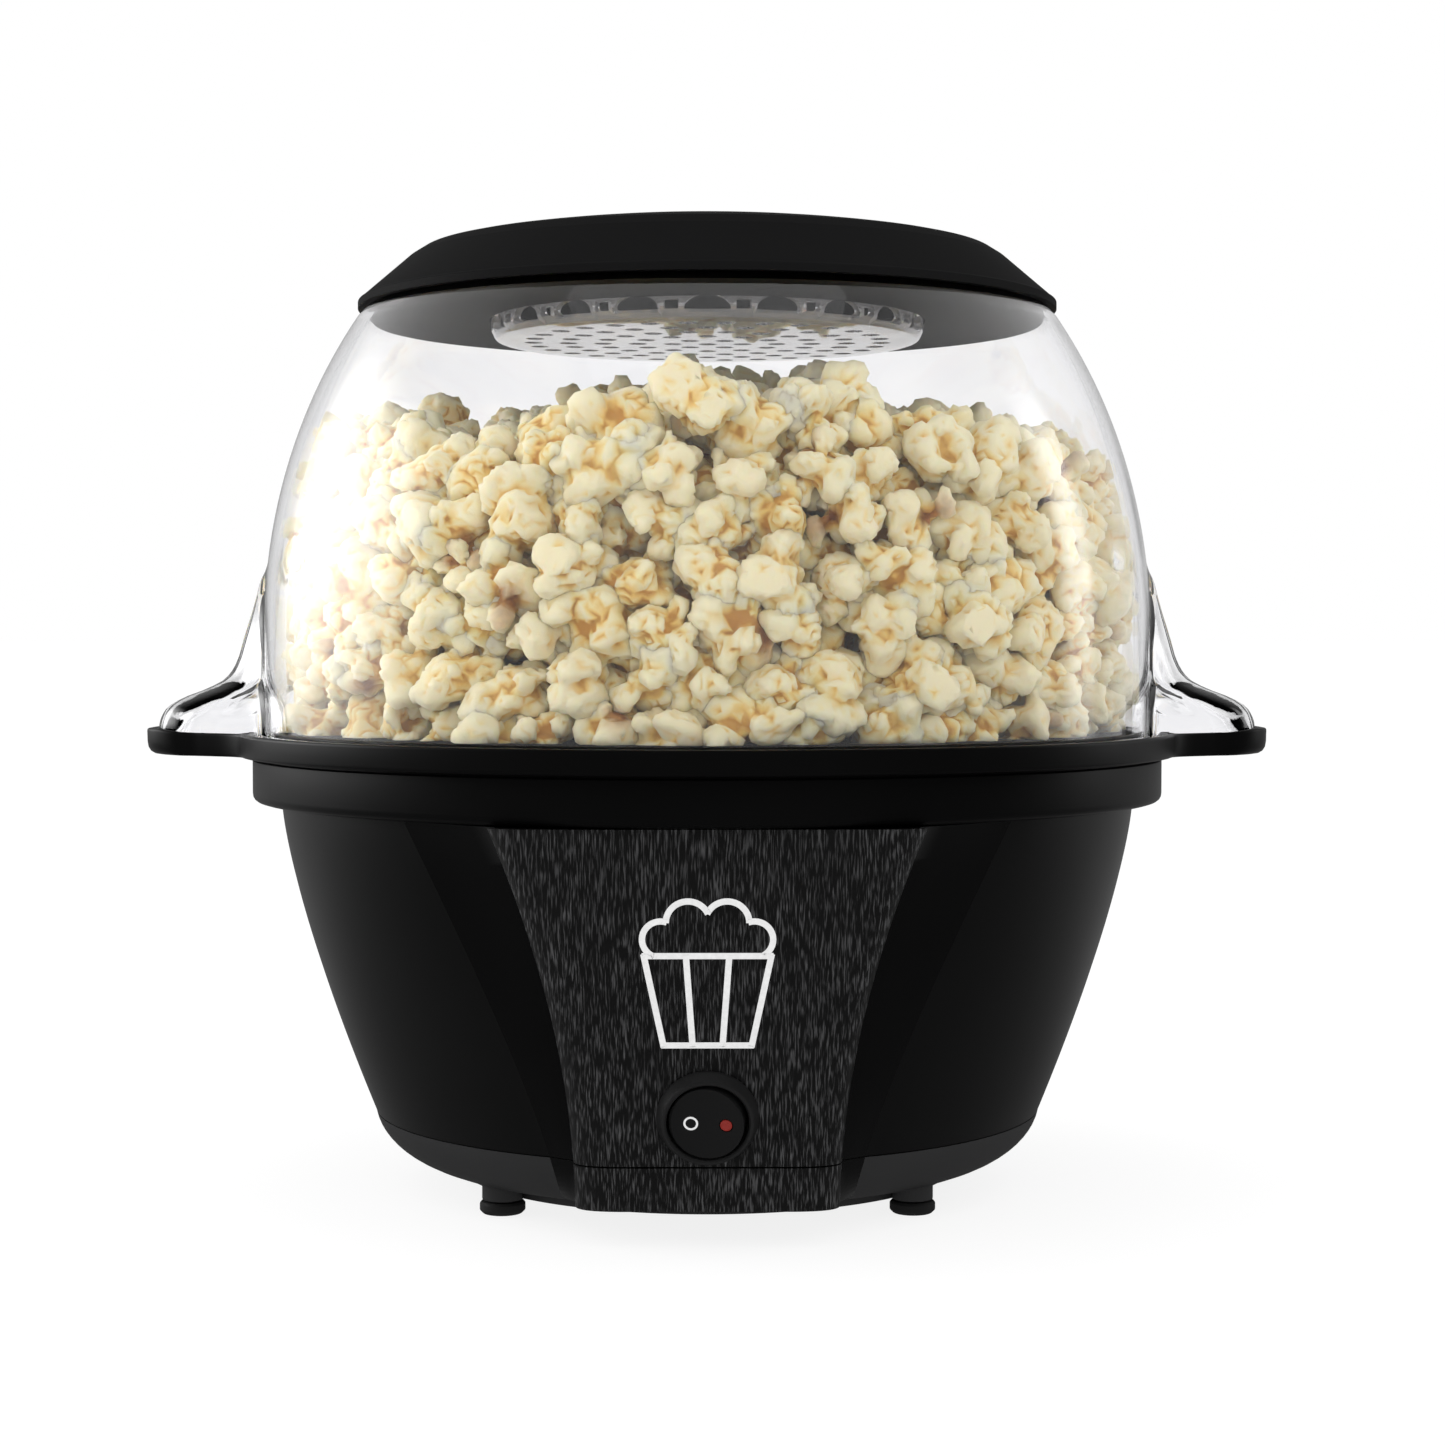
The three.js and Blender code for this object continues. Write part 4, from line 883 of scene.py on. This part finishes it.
def mark_strokes():
    """A tub with stripes, and round puffs above it."""
    top, bottom, rim, foot = 3.0, -19.0, 15.0, 10.5
    lines = [
        straight((-rim, top), (rim, top)),
        straight((-foot, bottom), (foot, bottom)),
        straight((-rim, top), (-foot, bottom)),
        straight((rim, top), (foot, bottom)),
    ]
    for share in (-0.34, 0.34):
        lines.append(straight((share * rim, top), (share * foot, bottom)))
    for side in (-1, 1):
        for x, z, radius, start, end in ((11.0, 7.0, 4.4, -68, 109), (4.6, 11.0, 5.2, 0, 155)):
            if side < 0:
                start, end = 180 - end, 180 - start
            lines.append(curve_points((side * x, z), radius, start, end))
    return lines


def build_panel_mark():
    vertices, faces = [], []
    for line in mark_strokes():
        left, right = stroke(line)
        base = len(vertices)
        for out in (0.0, MARK_PROUD):
            for p in left + right:
                z = MARK_HEIGHT + p.y
                vertices.append((p.x, -panel_forward(z) + 0.05 * MM - out, z))
        n = len(left)
        front, back = base + 2 * n, base
        for i in range(n - 1):
            faces.append((front + i, front + n + i, front + n + i + 1, front + i + 1))
            faces.append((back + i, back + i + 1, back + n + i + 1, back + n + i))
            faces.append((back + i, front + i, front + i + 1, back + i + 1))
            faces.append((back + n + i, back + n + i + 1, front + n + i + 1, front + n + i))
        for i in (0, n - 1):
            faces.append((back + i, back + n + i, front + n + i, front + i))
    mark = mesh_object("panel_mark", vertices, faces, WHITE_PRINT, 30)
    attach(mark, "base")


# ---------------------------------------------------------------- dome
EAR_PROFILE = (  # how far out the ear reaches (X) at each height, from its lip up to the dome's wall
    (149.4, 121.3), (149.4, 124.6), (148.9, 126.6), (147.5, 129.1), (145.4, 130.7), (141.6, 132.6),
    (136.4, 134.5), (131.7, 137.0), (129.2, 139.9), (127.6, 143.2), (125.6, 150.2), (123.0, 158.3),
    (121.2, 163.7), (118.0, 168.0),
)
EAR_TOP = EAR_PROFILE[-1][1] * MM
BAND_RADIUS = 89.6 * MM       # of the dark band round the butter well
BAND_DEPTH = 2.6 * MM


def dome_radius(z, inset=0.0):
    rise = max(0.0, z - DOME_SHOULDER) / (DOME_CURVE - inset)
    return (DOME_RADIUS - inset) * math.sqrt(1 - rise ** 2)


def smooth_table(table, value):
    """Catmull-Rom interpolation in a table of (result, value) pairs that rises by value."""
    index = 0
    while index < len(table) - 2 and table[index + 1][1] < value:
        index += 1
    p = [table[min(max(index + k, 0), len(table) - 1)][0] for k in (-1, 0, 1, 2)]
    low, high = table[index][1], table[index + 1][1]
    t = min(max((value - low) / (high - low), 0.0), 1.0)
    return 0.5 * (2 * p[1] + (p[2] - p[0]) * t + (2 * p[0] - 5 * p[1] + 4 * p[2] - p[3]) * t ** 2
                  + (3 * p[1] - p[0] - 3 * p[2] + p[3]) * t ** 3)


def dome_ear(height):
    """The plan of the dome's ear at one height: a little narrower than the collar's ear under it."""
    tip = smooth_table(EAR_PROFILE, height / MM) * MM
    narrow = 3 * MM
    half_tip, half_root, corner = EAR_HALF_TIP - narrow, EAR_HALF_ROOT - narrow, EAR_CORNER - narrow / 2
    return lambda across: ear_limit(across, tip, half_tip, half_root, EAR_ROOT, corner)


def dome_outside(turn, z):
    return soft_max(dome_radius(z), ear_reach(turn, dome_ear(z)), 5 * MM)


def build_dome():
    rim = RIM + GAP
    top, under = DOME_TOP / MM, DOME_TOP / MM - 2.2
    ear_heights = [rim + (EAR_TOP - rim) * (i / 34) ** 1.25 for i in range(35)]
    upper = [EAR_TOP + (DOME_TOP - EAR_TOP) * (1 - (1 - i / 22) ** 1.4) for i in range(1, 23)]
    sections = []
    for turn in angles_with_ears(0.5, 2.0, 26.0):
        outside = [(dome_outside(turn, z), z) for z in ear_heights]
        lip = FLANGE_RADIUS - 2.8 * MM
        outside = [(max(r, lip) if z < rim + 1.1 * MM else r, z) for r, z in outside]
        reach = outside[0][0]
        crest = [(dome_radius(z), z) for z in upper]
        edge = crest[-1][0] / MM
        corner = rounded([(edge + 0.7, top - 1.4, 0), (edge - 0.3, top, 1.0), (edge - 2.5, top, 0)], False)
        inner = [(dome_radius(z, WALL), z) for z in reversed(upper) if z < (under - 1.0) * MM]
        inner += [(dome_radius(z, WALL), z) for z in (EAR_TOP, 160 * MM, 150 * MM, 136 * MM)]
        ring = [(89.4, top), (89.4, top + 2.8), (87.6, top + 2.8), (87.6, top), (59.4, top), (59.4, under),
                (dome_radius(under * MM, WALL) / MM, under)]
        section = [(117.6 * MM, rim), (119.6 * MM, rim)]
        section += pocket_outline(turn, reach, rim)
        section += outside + [p for p in crest if p[1] < (top - 1.5) * MM] + corner
        section += [(r * MM, z * MM) for r, z in ring] + inner
        sections.append((turn, section))
    piece = sweep_round("dome_shell", sections, CLEAR, 40.0)
    # the flat top ring round the well is coloured black, though the dome is clear plastic
    piece.data.materials.append(BAND_BLACK)
    for face in piece.data.polygons:
        x, y, z = face.center
        if z > DOME_TOP - BAND_DEPTH and math.hypot(x, y) < BAND_RADIUS:
            face.material_index = 1
    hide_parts("dome")
    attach(piece, "dome")


def pocket_outline(turn, reach, rim, steps=26):
    """The hollow under an ear, from the dome's wall out to the ear's lip. Elsewhere it is flat."""
    start, end = DOME_RADIUS, reach - WALL
    width = end - start
    if width <= 0:
        return [(start, rim)] * (steps + 3)
    heights = levels(rim + 2.0 * MM, EAR_TOP - 2 * MM, 60)
    ceiling = [(dome_outside(turn, z) - WALL, z - WALL * 0.8) for z in heights]
    points = []
    for i in range(steps + 1):
        r = start + width * (i / steps) ** 1.6
        z = rim
        for j in range(len(ceiling) - 1):
            (r0, z0), (r1, z1) = ceiling[j], ceiling[j + 1]
            if r1 <= r <= r0:
                t = (r0 - r) / max(r0 - r1, 1e-9)
                z = z0 + (z1 - z0) * t
        points.append((r, max(rim, z)))
    return [(start, rim)] + points + [(end, rim)]


# ---------------------------------------------------------------- butter well
WELL_RINGS = [(9.5 * k, 6 * k) for k in (1, 2, 3, 4, 5)]      # radius and count of the drain holes
WELL_DRAIN = 2.5 * MM
WELL_WINDOWS = 20


def build_butter_well():
    low, lip, flange = WELL_LOW.z / MM, WELL_HIGH.z / MM, (DOME_TOP + GAP) / MM
    profile = rounded([
        (0, low, 0), (30, low + 0.2, 0), (50, low + 0.5, 6), (57.6, low + 0.8, 1.4), (58.9, low + 3.0, 1.2),
        (58.9, flange, 0.3), (65, flange, 0.3), (65, lip, 0.8), (56.9, lip, 0.8), (56.9, low + 3.4, 1.6),
        (50, low + 2.3, 5), (30, low + 2.0, 0), (0, low + 1.8, 0)], False)
    well = revolve("butter_well_cup", profile, WELL_CLEAR, 180, 32)
    drill = bmesh.new()
    holes = [(0.0, 0.0)]
    for radius, count in WELL_RINGS:
        holes += [(radius * math.cos(a), radius * math.sin(a)) for a in angles_round(count)]
    for x, y in holes:
        where = Matrix.Translation((x * MM, y * MM, (low + 3) * MM))
        bmesh.ops.create_cone(drill, cap_ends=True, segments=16, radius1=WELL_DRAIN, radius2=WELL_DRAIN,
                              depth=12 * MM, matrix=where)
    for i in range(WELL_WINDOWS):
        turn = 2 * math.pi * i / WELL_WINDOWS
        add_window(drill, turn, 5.9 * MM, (low + 2.0) * MM, (low + 6.4) * MM, arched=True)
        beside = turn + math.pi / WELL_WINDOWS
        add_window(drill, beside, 1.9 * MM, (low + 2.8) * MM, (low + 5.2) * MM, arched=False)
    mesh = bpy.data.meshes.new("cutter")
    drill.to_mesh(mesh)
    drill.free()
    cut(well, new_object("cutter", mesh))
    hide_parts("butter_well")
    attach(well, "dome")


def add_window(drill, turn, half, low, high, arched):
    """A prism through the well's wall, with a round top where it is arched."""
    outline = [(-half, low), (half, low)]
    if arched:
        outline += [(half * math.cos(a), low + 1 * MM + (high - low - 1 * MM) * math.sin(a))
                    for a in [math.pi * k / 10 for k in range(11)]]
    else:
        outline += [(half, high), (-half, high)]
    spin = Matrix.Rotation(turn, 4, "Z")
    rings = []
    for reach in (55 * MM, 61 * MM):
        rings.append([drill.verts.new(spin @ Vector((reach, y, z))) for y, z in outline])
    near, far = rings
    drill.faces.new(list(reversed(near)))
    drill.faces.new(far)
    for i in range(len(near)):
        k = (i + 1) % len(near)
        drill.faces.new((near[i], near[k], far[k], far[i]))


# ---------------------------------------------------------------- cap
def build_cap():
    low, high = CAP_LOW.z / MM, CAP_HIGH.z / MM
    edge, base = 76.0, 253.0

    def crown(radius):
        return base + (high - base) * (1 - (radius / edge) ** 2)

    radii = [74, 70, 66, 60, 54, 48, 42, 36, 30, 24, 18, 12, 6]
    outside = [(94.7, low, 0.7), (94.7, low + 1.9, 0.5), (93.9, low + 2.4, 0.4)]
    outside += [(81.2, 250.2, 3), (77.5, 252.55, 2.5)]
    outside += [(r, crown(r), 0) for r in radii] + [(0, high, 0)]
    inside = [(0, high - 2.2, 0)] + [(r, crown(r) - 2.2, 0) for r in reversed(radii)]
    inside += [(79.4, 248.6, 1.5), (92.5, low + 1.6, 0.8), (92.5, low, 0.3)]
    skin = [(92.5 * MM, low * MM)] + rounded(outside, False)
    lining = rounded(inside, False)[:-1]
    cap = revolve("cap_shell", skin + lining, CAP_MATTE, 192, 30)
    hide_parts("cap")
    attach(cap, "cap")


# ---------------------------------------------------------------- popcorn
FLAKE_KINDS = 14
FLAKE_FACES = 900


def any_direction(chance, upward=1.0):
    return Vector((chance.gauss(0, 1), chance.gauss(0, 1), chance.gauss(0, upward))).normalized()


def turned_any_way(chance):
    axis = any_direction(chance)
    return Matrix.Rotation(chance.uniform(0, 2 * math.pi), 3, axis)


def flake(kind, chance):
    """One popped kernel: a cluster of lobes merged into one crinkled body, about 18 mm across."""
    work = bmesh.new()
    lobes = chance.randint(8, 12)
    for i in range(lobes):
        axis = any_direction(chance, 0.75)
        size = chance.uniform(2.0, 4.2) * MM
        centre = axis * chance.uniform(3.2, 6.4) * MM
        if i == 0:
            centre, size = Vector((0, 0, 0)), 3.9 * MM
        stretch = (chance.uniform(0.7, 1.5), chance.uniform(0.7, 1.5), chance.uniform(0.6, 1.2), 1)
        matrix = Matrix.Translation(centre) @ Matrix.Diagonal(stretch)
        bmesh.ops.create_icosphere(work, subdivisions=3, radius=size, matrix=matrix)
    mesh = bpy.data.meshes.new(f"flake_{kind}")
    work.to_mesh(mesh)
    work.free()
    piece = new_object(f"flake_{kind}", mesh)
    remesh = piece.modifiers.new("merge", "REMESH")
    remesh.mode = "VOXEL"
    remesh.voxel_size = 0.5 * MM
    smooth = piece.modifiers.new("soften", "SMOOTH")
    smooth.factor = 0.5
    smooth.iterations = 2
    bpy.context.view_layer.update()
    apply_modifiers(piece)
    shift = Vector((chance.uniform(-9, 9), chance.uniform(-9, 9), chance.uniform(-9, 9)))
    normals = [v.normal.copy() for v in piece.data.vertices]
    for vertex, normal in zip(piece.data.vertices, normals):
        p = vertex.co / MM
        broad = noise.noise(p * 0.30 + shift)
        creased = abs(noise.noise(p * 0.42 + shift * 2))
        fine = noise.noise(p * 1.1 + shift)
        crease = max(0.0, 1.0 - creased / 0.20)
        vertex.co += normal * (1.3 * broad - 0.55 * crease + 0.22 * fine + 0.1) * MM
    thin = piece.modifiers.new("thin", "DECIMATE")
    thin.ratio = FLAKE_FACES / (2 * len(piece.data.polygons))
    bpy.context.view_layer.update()
    apply_modifiers(piece)
    data = flake_data(piece.data, chance)
    old = piece.data
    bpy.data.objects.remove(piece)
    bpy.data.meshes.remove(old)
    return data


def flake_data(mesh, chance):
    """The flake's points and faces, how far each point stands out of the creases (low values carry painted
    shade), and where its hull shows.
    """
    work = bmesh.new()
    work.from_mesh(mesh)
    bmesh.ops.triangulate(work, faces=work.faces)
    bmesh.ops.recalc_face_normals(work, faces=work.faces)
    points = [v.co.copy() for v in work.verts]
    faces = [tuple(v.index for v in f.verts) for f in work.faces]
    reach = max(p.length for p in points)
    spot = any_direction(chance)
    husky = chance.random() < 0.45
    fold_shades, hulls = [], []
    for vertex in work.verts:
        around = [e.other_vert(vertex).co for e in vertex.link_edges]
        bulge = (vertex.co - sum(around, Vector()) / len(around)).dot(vertex.normal) / MM
        stand = vertex.co.length / reach
        # points in a crease or near the flake's middle get low values: painted shade in the creases, partly
        # the flesh's own yellow
        fold_shades.append(min(1.0, max(0.0, 0.58 + 0.9 * bulge + 1.3 * (stand - 0.60))))
        near = vertex.co.normalized().dot(spot) if vertex.co.length > 0 else 0
        deep = max(0.0, min(1.0, (0.62 - stand) * 5))
        hulls.append(min(1.0, max(0.0, (near - 0.80) * 9) * (0.35 + deep)) if husky else 0.0)
    work.free()
    return points, faces, fold_shades, hulls


def heap_height(x, y):
    """The heap's uneven top."""
    r = math.hypot(x, y) / MM
    swell = 4.5 * math.sin(x / MM * 0.05 + 1.0) + 3.5 * math.cos(y / MM * 0.06)
    return (207 - 9 * (r / 100) ** 2 + swell) * MM


def heap_places(chance):
    """Where each flake lies, its size and a painted shade: two layers behind the dome's wall, and two over
    the top. The deeper layer is painted darker, as shade falls between the flakes.
    """
    places = []
    pitch = 16.0 * MM
    for layer, depth in enumerate((9.5, 20.0)):
        z = 126 * MM + layer * 7 * MM
        row = 0
        while z < 212 * MM:
            radius = dome_radius(z, WALL) - depth * MM
            count = int(2 * math.pi * radius / pitch)
            for i in range(count):
                turn = 2 * math.pi * (i + 0.5 * (row % 2)) / count + chance.uniform(-0.03, 0.03)
                r = radius - chance.uniform(0, 4.5) * MM
                x, y = r * math.cos(turn), r * math.sin(turn)
                height = z + chance.uniform(-3, 3) * MM
                if height < heap_height(x, y):
                    # the deeper layer gets painted shade
                    places.append((x, y, height, chance.uniform(1.1, 1.5), -0.22 * layer))
            z += 12.5 * MM
            row += 1
    for layer, depth in enumerate((3.0, 14.0)):
        reach = 96 * MM
        steps = int(reach / pitch)
        for i in range(-steps, steps + 1):
            for j in range(-steps, steps + 1):
                x = (i + 0.5 * (j % 2) + chance.uniform(-0.25, 0.25)) * pitch
                y = (j * 0.87 + chance.uniform(-0.25, 0.25)) * pitch
                if math.hypot(x, y) < reach - 4 * MM * layer:
                    z = heap_height(x, y) - depth * MM + chance.uniform(-4, 5) * MM
                    # the deeper layer gets painted shade
                    places.append((x, y, z, chance.uniform(1.0, 1.45), -0.12 * layer))
    return places


def kept_inside(point):
    """Moves a point back inside the dome's wall, above the plate's rim and below the well."""
    low = RIM + 2.6 * MM
    high = WELL_LOW.z - 1.2 * MM
    z = min(max(point.z, low), high)
    limit = dome_radius(z, WALL) - 0.5 * MM
    r = math.hypot(point.x, point.y)
    squeeze = min(1.0, limit / r) if r > 0 else 1.0
    return (point.x * squeeze, point.y * squeeze, z)


def build_popcorn():
    chance = random.Random(7)
    kinds = [flake(k, chance) for k in range(FLAKE_KINDS)]
    groups = {"popcorn_front": [], "popcorn_left": [], "popcorn_right": [], "popcorn_back": []}
    for place in heap_places(chance):
        turn = math.degrees(math.atan2(place[1], place[0])) % 360
        quarter = int((turn + 45) % 360 // 90)
        name = ("popcorn_right", "popcorn_back", "popcorn_left", "popcorn_front")[quarter]
        groups[name].append(place)
    for name, places in groups.items():
        vertices, faces, fold_shades, hulls = [], [], [], []
        for x, y, z, size, painted_depth_shade in places:
            points, triangles, fold_shade, hull = kinds[chance.randrange(FLAKE_KINDS)]
            spin = turned_any_way(chance) * size
            base = len(vertices)
            vertices += [kept_inside(spin @ p + Vector((x, y, z))) for p in points]
            faces += [tuple(base + k for k in triangle) for triangle in triangles]
            # a random tone, plus the layer's painted shade
            shade = chance.uniform(-0.14, 0.10) + painted_depth_shade
            fold_shades += [f + shade for f in fold_shade]
            hulls += hull
        mesh = bpy.data.meshes.new(name)
        mesh.from_pydata(vertices, [], faces)
        mesh.update()
        # this attribute carries the painted shade of creases and deeper layers, plus a random tone
        for key, values in (("fold_shade", fold_shades), ("hull", hulls)):
            attribute = mesh.attributes.new(key, "FLOAT", "POINT")
            attribute.data.foreach_set("value", values)
        mesh.shade_smooth()
        mesh.materials.append(POPCORN)
        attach(new_object(name, mesh), "base")


# ---------------------------------------------------------------- inner pieces
SLOT_MATERIALS = {
    "black_gloss_plastic": SATIN,
    "black_matte_plastic": MATTE,
    "cap_matte_plastic": CAP_MATTE,
    "brushed_black_metal": BRUSHED,
    "clear_plastic": CLEAR,
    "clear_grey_plastic": WELL_CLEAR,
    "rubber": RUBBER,
    "non_stick": NON_STICK,
    "steel": STEEL,
    "aluminium": ALUMINIUM,
    "nylon": NYLON,
    "brass": BRASS,
    "red_plastic": RED_LENS,
}


def finish_inner_nodes():
    """Every CAD node that is still shown gets its slot's material and smooth shading."""
    parts = frame["record"]["subparts"]
    slots = {part["node"]: part.get("material") or part.get("material_slot") for part in parts}
    for name, node in frame["nodes"].items():
        node.data.materials.clear()
        node.data.materials.append(SLOT_MATERIALS.get(slots.get(name), MATTE))
        node.data.shade_smooth()
        node.data.set_sharp_from_angle(angle=math.radians(32))


# ---------------------------------------------------------------- stage and light
SOFTBOX_FADE = 0.38           # how far in a softbox's edges are dimmed, as a share of its width


def fade_edges(lamp):
    """A softbox is brightest in its middle and fades towards its edges."""
    n = Nodes(lamp, "ShaderNodeOutputLight")
    across = n.add("ShaderNodeSeparateXYZ")
    n.link(n.add("ShaderNodeNewGeometry").outputs["Parametric"], across.inputs[0])
    sides = []
    for axis in ("X", "Y"):
        from_edge = n.maths("PINGPONG", across.outputs[axis], 0.5)
        sides.append(n.spread(from_edge, 0.0, SOFTBOX_FADE, 0.0, 1.0, "SMOOTHSTEP"))
    n.show(n.glow("ShaderNodeEmission", n.maths("MULTIPLY", *sides)))


def area_light(name, place, target, size, power, mirrored=True):
    data = bpy.data.lights.new(name, "AREA")
    data.shape = "RECTANGLE"
    data.size, data.size_y = size
    data.energy = power
    if mirrored:
        fade_edges(data)
    light = new_object(name, data)
    light.location = place
    aim = Vector(target) - Vector(place)
    light.rotation_euler = aim.to_track_quat("-Z", "Y").to_euler()
    light.visible_glossy = mirrored


WHITE_SEEN = 1.0              # the backdrop, as the camera sees it
WHITE_LIT = 0.90              # the same backdrop as soft light on the object
MIRRORED_FRONT = 0.02         # the backdrop in glossy surfaces: black flags stand in front of the object
MIRRORED_BACK = 0.40          # and the white studio shows beside and behind it
FLOOR_MIRRORED_FRONT = 0.05
FLOOR_MIRRORED_BACK = 0.32
FLOOR_GLOW = 0.80             # share of the floor's white that no shadow darkens
FLOOR_GLOW_STRENGTH = 1.06
FLOOR_REACH = 30.0


def build_floor():
    """A white table lit from below as well, so that only a faint shadow lies on it."""
    n = new_material("white_floor")
    rays = n.add("ShaderNodeLightPath")
    cloth = n.add("ShaderNodeBsdfDiffuse")
    tone = n.noise(n.place(), 2.0, 1.0)
    n.link(n.ramp(tone, (0.3, (0.955, 0.955, 0.955)), (0.7, (0.965, 0.965, 0.965))), cloth.inputs["Color"])
    glow = n.glow("ShaderNodeEmission", FLOOR_GLOW_STRENGTH)
    lit = n.blend(FLOOR_GLOW, cloth.outputs[0], glow)
    axes = n.add("ShaderNodeSeparateXYZ")
    n.link(n.place(), axes.inputs[0])
    shade = n.spread(axes.outputs["Y"], -0.12, 0.20, FLOOR_MIRRORED_FRONT, FLOOR_MIRRORED_BACK)
    glossy, through = rays.outputs["Is Glossy Ray"], rays.outputs["Is Transmission Ray"]
    reflected = n.maths("SUBTRACT", glossy, through, clamp=True)
    n.show(n.blend(reflected, lit, n.glow("ShaderNodeEmission", shade)))
    corners = [(x * FLOOR_REACH, y * FLOOR_REACH, 0) for x, y in ((-1, -1), (1, -1), (1, 1), (-1, 1))]
    floor = mesh_object("floor", corners, [(0, 1, 2, 3)], n.owner)


def build_world():
    """A plain white studio, with dark flags that only glossy surfaces show."""
    world = bpy.data.worlds.new("studio")
    n = Nodes(world, "ShaderNodeOutputWorld")
    rays = n.add("ShaderNodeLightPath")
    axes = n.add("ShaderNodeSeparateXYZ")
    n.link(n.add("ShaderNodeTexCoord").outputs["Generated"], axes.inputs[0])
    flags = n.spread(axes.outputs["Y"], -0.05, 0.55, MIRRORED_FRONT, MIRRORED_BACK)
    sky = n.glow("ShaderNodeBackground", WHITE_LIT)
    for ray, strength in (("Glossy", flags), ("Transmission", WHITE_SEEN), ("Camera", WHITE_SEEN)):
        sky = n.blend(rays.outputs[f"Is {ray} Ray"], sky, n.glow("ShaderNodeBackground", strength))
    n.show(sky)
    bpy.context.scene.world = world


def build_lights():
    area_light("softbox_left", (-1.2, 0.30, 0.45), (0, 0, 0.18), (1.7, 0.95), 20)
    area_light("softbox_right", (1.2, 0.30, 0.45), (0, 0, 0.18), (0.42, 1.1), 3.2)
    area_light("overhead", (0.0, -0.2, 1.3), (0, 0, 0), (1.2, 1.2), 3, mirrored=False)
    area_light("front_fill", (-0.5, -1.3, 0.7), (0, 0, 0.17), (0.9, 0.9), 0.5, mirrored=False)
    area_light("front_low", (0.25, -1.5, 0.42), (0, 0, 0.19), (0.7, 0.5), 0.5, mirrored=False)


bpy.context.scene.view_settings.view_transform = "Standard"

build_floor()
build_world()
build_lights()
finish_inner_nodes()
build_base_housing()
build_bottom_pan()
build_feet()
build_front_panels()
build_collar()
build_switch()
build_gland()
build_panel_mark()
build_dome()
build_butter_well()
build_cap()
build_popcorn()
